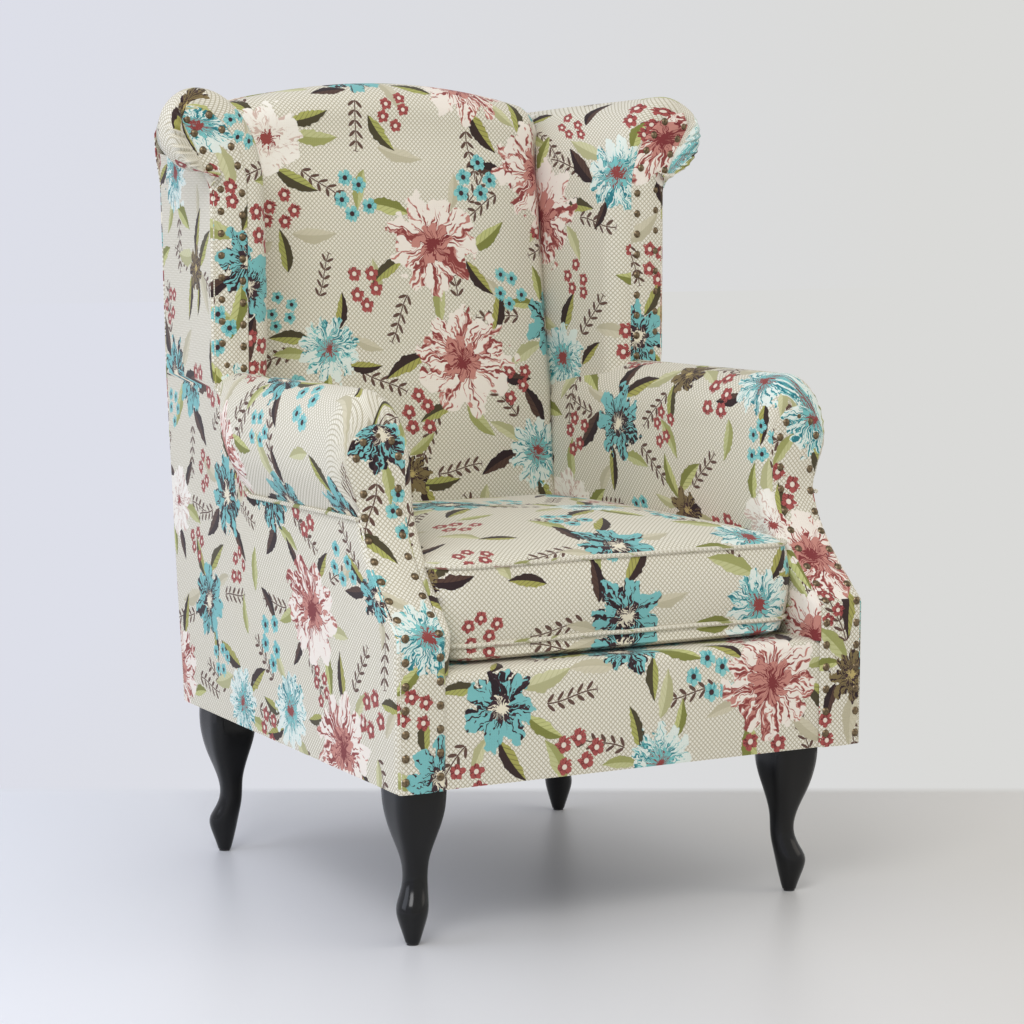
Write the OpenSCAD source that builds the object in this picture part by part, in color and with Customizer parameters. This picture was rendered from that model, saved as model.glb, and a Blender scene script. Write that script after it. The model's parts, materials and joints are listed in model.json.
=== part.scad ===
// Wing armchair on four cabriole legs, with a loose seat cushion.
// Millimetres. +Z is up, the chair faces -Y, and the floor is z = 0.
// Most depths are stated as "distance behind the front face", turned into Y by y_at().

/* [Base] */
// Width of the upholstered base at the front
base_front_w = 682; // [660:2:700]
// Width of the upholstered base at the rear
base_rear_w = 610; // [596:2:620]
// Depth of the base from the arm fronts to the outside back
base_depth = 733; // [720:1:745]
// Height of the underside of the base above the floor
base_z = 207; // [195:1:215]
// Height of the top of the seat rails
rail_top_z = 335; // [328:1:336]

/* [Arms] */
// Height where the arm front starts to sweep back
shoulder_z = 395; // [385:1:405]
// Height where the sweep ends
neck_z = 552; // [540:1:560]
// How far the arm front sweeps back
arm_setback = 108; // [100:1:112]
// Height of the centre of the rolled arm
roll_z = 607; // [604:1:608]
// Half width of the rolled arm
roll_half_w = 52; // [48:1:53]
// Half height of the rolled arm
roll_half_h = 77; // [72:1:78]

/* [Wings] */
// Distance of the wing fronts behind the arm fronts
wing_setback = 505; // [500:1:508]
// Height of the centre of the wing roll at the front
wing_roll_z = 1005; // [998:1:1008]
// Radius of the wing roll at the front
wing_roll_r = 57; // [52:1:58]

/* [Back] */
// Height of the middle of the arched back
back_top_z = 1080; // [1074:1:1084]
// Drop of the arch for each square millimetre of half width
arch_drop = 0.00055; // [0.0004:0.00005:0.0006]
// Lean of the outside back, as depth for each unit of height
outer_rake = 0.074; // [0.06:0.002:0.078]
// Lean of the inside back, as depth for each unit of height
inner_rake = 0.125; // [0.115:0.005:0.13]

/* [Seat] */
// Height of the underside of the seat cushion
cushion_z = 348; // [348:1:352]
// Height of the top of the seat cushion at its middle
cushion_top_z = 512; // [500:1:516]
// Distance of the cushion's front behind the arm fronts
cushion_front = 38; // [34:1:44]

/* [Legs] */
// Inset of each leg from the side of the base
leg_inset = 30; // [26:1:32]
// Side of the square section at the top of a leg
leg_top_w = 67; // [62:1:70]
// Thickness of the plastic glide under each foot
glide_h = 2; // [1.5:0.5:3]

/* [Nailheads] */
// Diameter of a nailhead
nail_d = 11; // [9:0.5:12]
// Height of a nailhead's dome
nail_h = 3; // [2:0.5:3.5]
// Distance between nailheads along a row
nail_pitch = 29; // [26:1:34]

/* [Hidden] */
$fn = 48;

overall_depth = 800;
nail_proud = nail_h;
front_y = -overall_depth / 2 + nail_proud;
skin = 2;
sheet = 3;
pad_front = 12;
frame_z = base_z + 2;
side_taper = (base_front_w - base_rear_w) / 2 / base_depth;
inner_front_x = 268;
inner_taper = 0.047;
wing_in_x = 272;
wing_turn = 0.17;
roll_turn = 0.33;
roll_thin = 0.077;
roll_axis_x = 370;
wing_front = wing_setback + 11;
wing_runs = [0, 45, 90, 135, 175, 225, 284];
wing_rear_x = 243;
wing_base_z = 612;
wing_flat_z = 925;
wing_under_z = wing_roll_z - wing_roll_r + 1;
roll_x = 315;
roll_front = arm_setback + pad_front + 1;
roll_rear = wing_setback - 1;
post_front = pad_front + 1;
post_back = post_front + 28;
post_x0 = 290;
post_x1 = 334;
post_top_z = 598;
back_half_w = 241;
back_front_z = 345;
seat_z = 480;
seat_depth = 603;
crown_radius = 2400;
seam_z = 529;
bolt_r = 4;
board_t = 25;
post_t = 36;
back_post_x = 264;
back_post_in = 41;
pad_gap = 2;

// Y of a point that lies d behind the arm fronts
function y_at(d) = front_y + d;
// Half width of the base, outside the cloth, d behind the front
function base_x(d) = base_front_w / 2 - side_taper * d;
// How far the side leans out for each unit of height, d behind the front
function side_lean(d) = d < wing_setback
    ? 0.008 + 0.064 * pow(d / wing_setback, 2)
    : 0.072 - 0.052 * (d - wing_setback) / 255;
// X of the outside of the right-hand side
function side_x(d, z) = base_x(d) + side_lean(d) * min(z - base_z, 473);
// X of the inside of the right-hand arm
function arm_in_x(d) = inner_front_x - inner_taper * d;
// Depth of the outside back at height z
function rear_d(z) = base_depth + outer_rake * (z - base_z);
// Depth of the inside back at height z
function seat_back_d(z) = seat_depth + inner_rake * (z - seat_z);
// Depth of the swept arm front at height z
function sweep_d(z) = z <= shoulder_z ? 0 : z >= neck_z ? arm_setback
    : arm_setback * sin(90 * (z - shoulder_z) / (neck_z - shoulder_z));
function sweep_slope(z) = z <= shoulder_z || z >= neck_z ? 0
    : arm_setback * PI / 2 / (neck_z - shoulder_z) * cos(90 * (z - shoulder_z) / (neck_z - shoulder_z));
// Heights at which the swept line has a point
function sweep_heights(z0, z1) = concat([z0],
    [for (i = [0 : 8]) let (z = shoulder_z + i * (neck_z - shoulder_z) / 8) if (z > z0 && z < z1) z], [z1]);
function sweep_line(off, z0, z1) = [for (z = sweep_heights(z0, z1)) [y_at(sweep_d(z) + off), z]];
function reversed(list) = [for (i = [len(list) - 1 : -1 : 0]) list[i]];
function ellipse_points(cx, cz, a, b, from, to, n) =
    [for (i = [0 : n]) let (t = from + (to - from) * i / n) [cx + a * cos(t), cz + b * sin(t)]];

module side(s) {
    if (s > 0) children();
    else mirror([1, 0, 0]) children();
}

// Extrudes an outline drawn in Y and Z from x0 to x1
module along_x(x0, x1) {
    translate([x0, 0, 0]) rotate([90, 0, 90]) linear_extrude(x1 - x0) children();
}

// Extrudes an outline drawn in X and Z from depth d0 to depth d1
module along_y(d0, d1) {
    translate([0, y_at(d1), 0]) rotate([90, 0, 0]) linear_extrude(d1 - d0) children();
}

// Slab that follows the sweep of the arm front
module swept_band(off0, off1, x0, x1, z0, z1) {
    along_x(x0, x1) polygon(concat(sweep_line(off0, z0, z1), reversed(sweep_line(off1, z0, z1))));
}

// Slab that leans with the outside back
module raked_band(in0, in1, x0, x1, z0, z1) {
    along_x(x0, x1) polygon([
        [y_at(rear_d(z0) - in0), z0], [y_at(rear_d(z1) - in0), z1],
        [y_at(rear_d(z1) - in1), z1], [y_at(rear_d(z0) - in1), z0]]);
}

// ---- frame ----

module front_rail() {
    color("burlywood") translate([-post_x0, y_at(post_front), frame_z])
        cube([2 * post_x0, board_t, rail_top_z - frame_z]);
}

module back_rail() {
    color("burlywood") translate([-back_post_x, y_at(base_depth - 32), frame_z])
        cube([2 * back_post_x, board_t, rail_top_z - frame_z]);
}

module side_rail() {
    outer_gap = sheet + 1.5;
    color("burlywood") translate([0, 0, frame_z]) linear_extrude(rail_top_z - frame_z) polygon([
        [base_x(post_back) - outer_gap, y_at(post_back)],
        [base_x(690) - outer_gap, y_at(690)],
        [base_x(690) - outer_gap - board_t, y_at(690)],
        [base_x(post_back) - outer_gap - board_t, y_at(post_back)]]);
}

// Triangular block that ties two rails together and takes the leg's bolt
module corner_block(x, y, to_rear) {
    size = 92;
    s = to_rear ? -1 : 1;
    color("peru") difference() {
        translate([x, y, frame_z]) linear_extrude(40)
            polygon([[0, 0], [0, s * size], [-22, s * size], [-size, s * 22], [-size, 0]]);
        translate([leg_axis_x(to_rear), leg_axis_y(to_rear), frame_z - 1]) cylinder(r = bolt_r, h = 42);
    }
}

module arm_post() {
    color("burlywood") swept_band(post_front, post_back, post_x0, post_x1, frame_z, post_top_z);
}

module back_post() {
    color("burlywood") raked_band(5, back_post_in, back_post_x, back_post_x + post_t, frame_z, wing_under_z - 4);
}

module arm_rail() {
    from = arm_setback + post_back;
    color("burlywood") translate([0, 0, 585]) linear_extrude(board_t) polygon([
        [292, y_at(from)], [332, y_at(from)], [311, y_at(705)], [271, y_at(705)]]);
}

// Plan of the board in a wing, from its outer face to t inside it
module wing_board_plan(t) {
    polygon([[336, y_at(wing_setback)], [300, y_at(770)], [300 - t, y_at(770)], [336 - t, y_at(wing_setback)]]);
}

module wing_frame() {
    top = wing_under_z - 5;
    color("burlywood") intersection() {
        along_x(250, 345) polygon([
            [y_at(wing_setback + 17), 611], [y_at(wing_setback + 17), top],
            [y_at(rear_d(top) - 43), top], [y_at(rear_d(top - 45) - 43), top - 45],
            [y_at(wing_setback + 57), top - 45], [y_at(wing_setback + 57), 611]]);
        translate([0, 0, 600]) linear_extrude(400) wing_board_plan(24);
    }
}

module arch_outline(half, z0, down) {
    polygon(concat([[-half, z0], [half, z0]],
        [for (i = [12 : -1 : -12]) let (x = half * i / 12) [x, back_top_z - down - arch_drop * x * x]]));
}

// Arched rail with a lower tongue at each end that meets the back post
module back_top_rail() {
    color("burlywood") intersection() {
        raked_band(6, 38, -back_post_x, back_post_x, 895, 1070);
        along_y(700, 820) union() {
            arch_outline(236, 900, 26);
            translate([-263.5, 896]) square([527, 54]);
        }
    }
}

module back_tack_rail() {
    color("burlywood") raked_band(6, 38, -back_post_x, back_post_x, 372, 420);
}

// ---- seat and back suspension ----

spring_xs = [-200, -100, 0, 100, 200];
spring_start = 24;
spring_end = 718;
spring_bends = 13;
spring_wire = 3.6;
spring_swing = 24;

function spring_centre(t) = [spring_swing * sin(180 * spring_bends * t),
    spring_start + (spring_end - spring_start) * t];
function spring_normal(t) = let (a = spring_centre(t - 0.001), b = spring_centre(t + 0.001),
    d = (b - a) / norm(b - a)) [d[1], -d[0]];
function spring_edge(side, n) = [for (i = [0 : n]) let (t = i / n)
    spring_centre(t) + side * spring_wire / 2 * spring_normal(t)];

// Flat snake of wire, bent in the plane of the seat
module snake_spring() {
    n = spring_bends * 6;
    linear_extrude(spring_wire) polygon(concat(spring_edge(1, n), reversed(spring_edge(-1, n))));
}

module seat_springs() {
    color("dimgray") for (x = spring_xs) translate([x, front_y, rail_top_z + 1.2]) snake_spring();
}

module spring_clips() {
    color("slategray") for (x = spring_xs, end = [0, 1]) {
        d = end == 0 ? spring_start - 6 : spring_end - 10;
        translate([x - 11, y_at(d), rail_top_z]) cube([22, 16, 1.2]);
    }
}

// Straps at the back, the upright ones in front of the level ones
module back_webbing() {
    color("sienna") {
        for (z = [470, 580, 690, 800]) raked_band(39.8, 41, -263, 263, z, z + 50);
        for (x = [-180, -60, 60, 180]) raked_band(41.2, 42.4, x - 25, x + 25, 400, 893);
    }
}

module seat_deck() {
    color("wheat") translate([0, 0, rail_top_z + 5.2]) linear_extrude(cushion_z - 0.4 - rail_top_z - 5.2) polygon([
        [-arm_in_x(post_front) + 1, y_at(post_front)], [arm_in_x(post_front) - 1, y_at(post_front)],
        [arm_in_x(584) - 1, y_at(584)], [-arm_in_x(584) + 1, y_at(584)]]);
}

// ---- padding and covers ----

// Block of the back, drawn in by t from its front and top, and longer by e at the rear and the foot
module back_block(t, half, e = 0) {
    edge_r = 60;
    front_top = seat_back_d(back_top_z - edge_r);
    intersection() {
        along_x(-half, half) polygon(concat(
            [[y_at(seat_back_d(back_front_z - e) + t), back_front_z - e]],
            [for (p = ellipse_points(y_at(front_top + edge_r), back_top_z - edge_r,
                edge_r - t, edge_r - t, 180, 90, 8)) p],
            [[y_at(770 + e), back_top_z - t], [y_at(rear_d(1050) - 3.5 + e), 1050],
            [y_at(rear_d(895) - 3.5 + e), 895 - e], [y_at(rear_d(895) - 43 + e), 895 - e],
            [y_at(rear_d(back_front_z) - 43 + e), back_front_z - e]]));
        along_y(560, 820) arch_outline(half, back_front_z - 2, t);
    }
}

module back_pad() {
    color("khaki") difference() {
        back_block(skin + 0.3, back_half_w);
        back_top_rail();
    }
}

module inside_back_cover() {
    color("antiquewhite") difference() {
        back_block(0, back_half_w);
        back_block(skin, back_half_w + 1, 2);
    }
}

// Inner slab of an arm, from its inner face to its middle
module arm_slab(t, x_limit, z_top) {
    intersection() {
        translate([0, 0, rail_top_z + 1]) linear_extrude(z_top - rail_top_z - 1) polygon([
            [arm_in_x(0) + t, y_at(0)], [arm_in_x(600) + t, y_at(600)], [x_limit, y_at(600)], [x_limit, y_at(0)]]);
        along_x(200, 360) polygon(concat(sweep_line(post_front, rail_top_z, 640),
            [[y_at(598), 640], [y_at(seat_back_d(rail_top_z) - 3), rail_top_z]]));
    }
}

// Rolled top of an arm
module arm_roll(t, from, to) {
    along_y(from, to) polygon(ellipse_points(roll_x, roll_z, roll_half_w - t, roll_half_h - t, 0, 354, 59));
}

module arm_pad() {
    color("khaki") difference() {
        union() {
            arm_slab(skin, 288, wing_base_z - 1);
            arm_roll(skin, roll_front, roll_rear);
        }
        arm_rail();
        arm_post();
    }
}

module arm_cover() {
    color("antiquewhite") difference() {
        union() {
            arm_slab(0, 288, wing_base_z - 1);
            arm_roll(0, roll_front, roll_rear);
        }
        translate([0, 0, -2]) arm_slab(skin, 289, wing_base_z + 9);
        arm_slab(skin, 300, wing_base_z + 9);
        arm_roll(skin, roll_front - 1, roll_rear + 1);
        arm_rail();
        arm_post();
    }
}

// X of a wing's inner face, run millimetres behind its front
function wing_inner_x(run) = max(wing_rear_x, wing_in_x - wing_turn * run);
// The roll on top of a wing turns in and thins towards the back
function roll_cx(run) = roll_axis_x - roll_turn * run;
function roll_r(run) = wing_roll_r - roll_thin * run;

// Convex outline of the blade of a wing, seen from the front and drawn in by t
function blade_ring(run, t) = let (
        inner = wing_inner_x(run) + t,
        outer = roll_axis_x - wing_turn * run,
        cx = roll_cx(run),
        top = wing_roll_z + roll_r(run) - t)
    [for (p = concat(
        [[inner, wing_base_z]],
        ellipse_points(cx, wing_flat_z, inner - cx, top - wing_flat_z, 0, 74, 8),
        [[min(outer - 26, cx + 3), wing_under_z], [outer - 27, 700], [outer - 31, wing_base_z]]))
        [p[0], y_at(wing_front + run), p[1]]];
// Outline of the stuffing in the roll on top of a wing, which thins more than the roll does
function roll_ring(run, t) = let (r = roll_r(run) - t - 0.033 * run)
    [for (p = ellipse_points(roll_cx(run), wing_roll_z, r, r, 345, 0, 23)) [p[0], y_at(wing_front + run), p[1]]];

// Solid through a row of rings that have the same number of points
module loft(rings) {
    n = len(rings[0]);
    last = len(rings) - 1;
    polyhedron(
        points = [for (ring = rings) each ring],
        faces = concat(
            [[for (i = [0 : n - 1]) i]],
            [[for (i = [n - 1 : -1 : 0]) last * n + i]],
            [for (k = [0 : last - 1], i = [0 : n - 1]) each [
                [k * n + i, (k + 1) * n + i, k * n + (i + 1) % n],
                [k * n + (i + 1) % n, (k + 1) * n + i, (k + 1) * n + (i + 1) % n]]]));
}

module wing_block(t) {
    intersection() {
        union() {
            loft([for (run = wing_runs) blade_ring(run, t)]);
            loft([for (run = wing_runs) roll_ring(run, t)]);
        }
        along_x(200, 460) polygon([
            [y_at(wing_front), 600], [y_at(wing_front), 1100],
            [y_at(rear_d(1100) - 3.5), 1100], [y_at(rear_d(600) - 3.5), 600]]);
    }
}

module wing_pad() {
    color("khaki") difference() {
        wing_block(skin + pad_gap);
        back_top_rail();
        back_post();
        wing_frame();
        raked_band(38, 44, 230, 264.5, 570, 860);
    }
}

// Sheet over a grid of points; point(k, i, j) is on the outside for k = 0 and on the inside for k = 1
module grid_sheet(point, rows, cols) {
    function id(k, i, j) = (k * (rows + 1) + i) * (cols + 1) + j;
    function quad(a, b, c, d) = [[a, b, c], [a, c, d]];
    polyhedron(
        points = [for (k = [0, 1], i = [0 : rows], j = [0 : cols]) point(k, i, j)],
        faces = concat(
            [for (i = [0 : rows - 1], j = [0 : cols - 1]) each
                quad(id(0, i, j), id(0, i + 1, j), id(0, i + 1, j + 1), id(0, i, j + 1))],
            [for (i = [0 : rows - 1], j = [0 : cols - 1]) each
                quad(id(1, i, j), id(1, i, j + 1), id(1, i + 1, j + 1), id(1, i + 1, j))],
            [for (i = [0 : rows - 1]) each quad(id(1, i, 0), id(1, i + 1, 0), id(0, i + 1, 0), id(0, i, 0))],
            [for (i = [0 : rows - 1]) each
                quad(id(0, i, cols), id(0, i + 1, cols), id(1, i + 1, cols), id(1, i, cols))],
            [for (j = [0 : cols - 1]) each
                quad(id(1, rows, j), id(1, rows, j + 1), id(0, rows, j + 1), id(0, rows, j))],
            [for (j = [0 : cols - 1]) each quad(id(1, 0, j), id(0, 0, j), id(0, 0, j + 1), id(1, 0, j + 1))]));
}

// Outline of a wing's cover in X and Z, run millimetres behind its front and t inside its outside
function wing_cover_line(run, t) = let (
        inner = wing_inner_x(run) + t,
        cx = roll_cx(run),
        r = roll_r(run) - t)
    concat([[inner, wing_base_z], [inner, 770]],
        ellipse_points(cx, wing_flat_z, inner - cx, wing_roll_z + r - wing_flat_z, 0, 81, 9),
        ellipse_points(cx, wing_roll_z, r, r, 90, -75, 11));

// Cover of a wing's inside and roll, which ends short of the frame except along the top
module wing_cover() {
    rows = len(wing_cover_line(0, 0)) - 1;
    cols = 8;
    blade_rows = 8;
    blade_run = 199;
    color("antiquewhite") grid_sheet(function (k, i, j) let (
            level = wing_cover_line(250, 0)[i][1],
            end = i > blade_rows ? rear_d(level) - 4.5 - wing_front : blade_run,
            run = end * (cols - j) / cols,
            p = wing_cover_line(run, skin * k)[i])
        [p[0], y_at(wing_front + run), p[1]], rows, cols);
}

// Part of the twisted side, as a sheet between two heights, with its top edge rising towards the back
module side_sheet(z0, z1, rise, front_of, rows, cols) {
    grid_sheet(function (k, i, j) let (
            level = z0 + (z1 - z0) * i / rows,
            d0 = front_of(level),
            d1 = rear_d(level + rise * 280 * i / rows) - sheet - 0.2,
            d = d0 + (d1 - d0) * j / cols,
            z = level + rise * (d - d0) * i / rows)
        [side_x(d, z) - k * sheet, y_at(d), z], rows, cols);
}

module side_cover() {
    color("antiquewhite") union() {
        side_sheet(base_z, seam_z, 0, function (z) sweep_d(z), 8, 8);
        side_sheet(seam_z, wing_under_z - 1, roll_thin, function (z) wing_setback, 4, 4);
    }
}

module outside_back_cover() {
    half_low = base_x(base_depth) - 0.2;
    rear_run = 272;
    rear_cx = roll_cx(rear_run);
    rear_r = roll_r(rear_run);
    right = concat([[half_low, base_z], [side_x(770, 680) - 0.5, 680], [side_x(785, 965) - 0.5, 966]],
        ellipse_points(rear_cx, wing_roll_z, rear_r, rear_r, -30, 90, 8), [[262, back_top_z - 39]]);
    arch = [for (i = [10 : -1 : -10]) let (x = 241 * i / 10) [x, back_top_z - 4 - arch_drop * x * x]];
    left = reversed([for (p = right) [-p[0], p[1]]]);
    color("antiquewhite") intersection() {
        raked_band(0, sheet, -400, 400, base_z, back_top_z);
        along_y(700, 830) polygon(concat(right, arch, left));
    }
}

// Outline of an arm front: a straight strip with a rolled top
module facing_outline() {
    polygon(concat(
        [[inner_front_x + 0.5, base_z], [337, base_z], [337, shoulder_z], [335.5, seam_z], [340, 556]],
        ellipse_points(312, roll_z - 8, 44, 44, -20, 180, 16),
        [[inner_front_x, 560]]));
}

module arm_facing() {
    color("antiquewhite") intersection() {
        swept_band(0, pad_front, 250, 380, base_z, 660);
        along_y(-5, 140) facing_outline();
    }
}

// Outline of a wing front, which turns outwards at the top
module wing_facing_outline() {
    polygon(concat(
        [[wing_in_x + 1, wing_base_z], [339, wing_base_z], [344, 680], [344, wing_under_z]],
        ellipse_points(370, wing_roll_z, 50, 50, -80, 95, 14),
        reversed(ellipse_points(366, wing_flat_z, -93, 130, 0, 84, 8))));
}

module wing_facing() {
    color("antiquewhite") along_y(wing_setback, wing_setback + 10.5) wing_facing_outline();
}

module arm_welt() {
    r = 2.4;
    color("tan") translate([side_x(wing_setback, seam_z) + 3, y_at(arm_setback + 4), seam_z - r - 0.2])
        rotate([-90, 0, 0]) cylinder(r = r, h = roll_rear - arm_setback - 4);
}

module front_border() {
    color("antiquewhite") translate([-inner_front_x, y_at(4), base_z])
        cube([2 * inner_front_x, post_front - 4, rail_top_z + 8 - base_z]);
}

module dust_cover() {
    color("black") difference() {
        translate([0, 0, base_z]) linear_extrude(frame_z - base_z) polygon([
            [-base_x(post_front) + 4, y_at(post_front)], [base_x(post_front) - 4, y_at(post_front)],
            [base_x(729) - 4, y_at(729)], [-base_x(729) + 4, y_at(729)]]);
        for (s = [-1, 1], rear = [false, true])
            translate([s * leg_axis_x(rear), leg_axis_y(rear), base_z - 1]) cylinder(r = bolt_r, h = 5);
    }
}

// ---- loose seat cushion ----

function cushion_half(d) = arm_in_x(d) - 4;
cushion_corner = 22;
zip_half_w = 200;
zip_z = 398;
zip_h = 24;

// Plan of the cushion with round corners, drawn in by t
module cushion_plan(t) {
    r = cushion_corner;
    d0 = cushion_front + t;
    d1 = 584 - t;
    polygon(concat(
        ellipse_points(cushion_half(d0) - t - r, y_at(d0 + r), r, r, -90, 0, 6),
        ellipse_points(cushion_half(d1) - t - r, y_at(d1 - r), r, r, 0, 90, 6),
        ellipse_points(-cushion_half(d1) + t + r, y_at(d1 - r), r, r, 90, 180, 6),
        ellipse_points(-cushion_half(d0) + t + r, y_at(d0 + r), r, r, 180, 270, 6)));
}

module cushion_block(t) {
    intersection() {
        translate([0, 0, cushion_z + t]) linear_extrude(200) cushion_plan(t + 2.5);
        translate([0, y_at(310), cushion_top_z - crown_radius - t]) sphere(r = crown_radius, $fn = 300);
    }
}

module cushion_cover() {
    color("antiquewhite") difference() {
        cushion_block(0);
        cushion_block(skin);
        translate([-zip_half_w, y_at(570), zip_z]) cube([2 * zip_half_w, 20, zip_h]);
    }
}

module cushion_foam() {
    color("khaki") cushion_block(skin);
}

module cushion_welts() {
    color("tan") for (z = [cushion_z + 4, 466]) translate([0, 0, z]) linear_extrude(5) difference() {
        cushion_plan(0);
        cushion_plan(2.5);
    }
}

module zip_tape() {
    color("tan") translate([-zip_half_w, y_at(580), zip_z]) cube([2 * zip_half_w, 1.2, zip_h]);
}

module zip_slider() {
    color("goldenrod") translate([-190, y_at(582.75), 406]) cube([11, 2.2, 8]);
}

// ---- legs ----

// Outer and inner edges of the sawn profile of a standard leg: height, inset of each edge from the corner
leg_profile = [
    [207, 0, 67], [190, -1, 66], [172, 0, 66], [155, 3, 63], [138, 7.5, 58.5], [120, 14, 54], [104, 19, 51],
    [90, 21.5, 50.5], [76, 20.5, 50.5], [62, 15, 49.5], [52, 9, 48.5], [45, 6.5, 47.5], [36, 8, 46],
    [24, 12, 43], [12, 16.5, 40], [2, 19.5, 37]];

profile_top = leg_profile[0][0];
profile_foot = leg_profile[len(leg_profile) - 1][0];
profile_w = leg_profile[0][2];
// Height on the leg of a point of the standard profile
function leg_level(h) = glide_h + (h - profile_foot) / (profile_top - profile_foot) * (base_z - glide_h);

function leg_corner_x(to_rear) = (to_rear ? 332 : base_front_w / 2) - leg_inset;
function leg_corner_d(to_rear) = to_rear ? base_depth - 41 : 48;
function leg_axis_x(to_rear) = leg_corner_x(to_rear) - leg_top_w / 2;
function leg_axis_y(to_rear) = y_at(leg_corner_d(to_rear) + (to_rear ? -1 : 1) * leg_top_w / 2);

module leg_side_outline(s) {
    polygon(concat([for (p = leg_profile) [-s * p[1], leg_level(p[0])]],
        reversed([for (p = leg_profile) [-s * p[2] * leg_top_w / profile_w, leg_level(p[0])]])));
}

// Leg sawn to the same curve on two faces, with its foot turned out to the corner
module leg(to_rear) {
    s = to_rear ? 1 : -1;
    color([0.07, 0.07, 0.08]) difference() {
        translate([leg_corner_x(to_rear), y_at(leg_corner_d(to_rear)), 0]) intersection() {
            translate([0, -s * 60, 0]) rotate([90, 0, 0]) linear_extrude(160, center = true) leg_side_outline(1);
            translate([-100, 0, 0]) rotate([90, 0, 90]) linear_extrude(120) leg_side_outline(s);
        }
        translate([leg_axis_x(to_rear), leg_axis_y(to_rear), base_z - 36]) cylinder(r = bolt_r, h = 40);
    }
}

module leg_bolts() {
    color("silver") for (s = [-1, 1], rear = [false, true])
        translate([s * leg_axis_x(rear), leg_axis_y(rear), base_z - 36]) cylinder(r = bolt_r, h = 76);
}

foot_inset = 28.2;

module glides() {
    color("whitesmoke") for (s = [-1, 1], rear = [false, true])
        translate([s * (leg_corner_x(rear) - foot_inset), y_at(leg_corner_d(rear) + (rear ? -1 : 1) * foot_inset), 0])
            cylinder(d = 15, h = glide_h);
}

// ---- nailheads ----

// Domed head on its shank, standing on z = 0
module nail() {
    r = nail_d / 2;
    ball = (r * r + nail_h * nail_h) / (2 * nail_h);
    intersection() {
        translate([0, 0, nail_h - ball]) sphere(r = ball, $fn = 24);
        translate([-nail_d, -nail_d, 0]) cube([2 * nail_d, 2 * nail_d, 2 * nail_h]);
    }
    translate([0, 0, -8]) cylinder(r = 0.8, h = 8.2, $fn = 16);
}

// Heights of nails spaced evenly along the swept front
function climb(z, z_end) = z > z_end ? []
    : concat([z], climb(z + nail_pitch / sqrt(1 + pow(sweep_slope(z + nail_pitch / 3), 2)), z_end));

module arm_nail(x, z) {
    translate([x, y_at(sweep_d(z)), z]) rotate([90 - atan(sweep_slope(z)), 0, 0]) nail();
}

module arm_nails() {
    outer_x = 331;
    inner_x = 284;
    arc_z = 598;
    color("darkgoldenrod") {
        for (z = climb(221, arc_z - 35)) arm_nail(outer_x, z);
        for (z = climb(224, arc_z - 35)) arm_nail(inner_x, z);
        for (a = [8 : 41 : 180]) arm_nail(312 + 29 * cos(a), arc_z + 31 * sin(a));
    }
}

wing_outer_turn = [[355, 955], [364, 978], [376, 1000], [386, 1018]];
wing_inner_turn = [[315, 958], [324, 983], [337, 1005], [355, 1024]];

module wing_nails() {
    color("darkgoldenrod") for (p = concat(
        [for (z = [695 : nail_pitch : 935]) [z < 710 ? 333 : 339, z]], [for (z = [690 : nail_pitch : 935]) [309, z]],
        wing_outer_turn, wing_inner_turn))
        translate([p[0], y_at(wing_setback), p[1]]) rotate([90, 0, 0]) nail();
}

front_rail();
back_rail();
side_rail();  // side_rail_right
side(-1) side_rail();  // side_rail_left
corner_block(304, y_at(42), false);  // corner_block_front_right
side(-1) corner_block(304, y_at(42), false);  // corner_block_front_left
corner_block(276, y_at(689), true);  // corner_block_rear_right
side(-1) corner_block(276, y_at(689), true);  // corner_block_rear_left
arm_post();  // arm_post_right
side(-1) arm_post();  // arm_post_left
back_post();  // back_post_right
side(-1) back_post();  // back_post_left
arm_rail();  // arm_rail_right
side(-1) arm_rail();  // arm_rail_left
wing_frame();  // wing_frame_right
side(-1) wing_frame();  // wing_frame_left
back_top_rail();
back_tack_rail();
seat_springs();
spring_clips();
back_webbing();
seat_deck();
back_pad();
arm_pad();  // arm_pad_right
side(-1) arm_pad();  // arm_pad_left
wing_pad();  // wing_pad_right
side(-1) wing_pad();  // wing_pad_left
inside_back_cover();
outside_back_cover();
side_cover();  // side_cover_right
side(-1) side_cover();  // side_cover_left
arm_cover();  // arm_cover_right
side(-1) arm_cover();  // arm_cover_left
wing_cover();  // wing_cover_right
side(-1) wing_cover();  // wing_cover_left
arm_facing();  // arm_facing_right
side(-1) arm_facing();  // arm_facing_left
wing_facing();  // wing_facing_right
side(-1) wing_facing();  // wing_facing_left
arm_welt();  // arm_welt_right
side(-1) arm_welt();  // arm_welt_left
front_border();
dust_cover();
cushion_cover();
cushion_foam();
cushion_welts();
zip_tape();
zip_slider();
leg(false);  // leg_front_right
side(-1) leg(false);  // leg_front_left
leg(true);  // leg_rear_right
side(-1) leg(true);  // leg_rear_left
leg_bolts();
glides();
arm_nails();  // arm_nails_right
side(-1) arm_nails();  // arm_nails_left
wing_nails();  // wing_nails_right
side(-1) wing_nails();  // wing_nails_left
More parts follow.
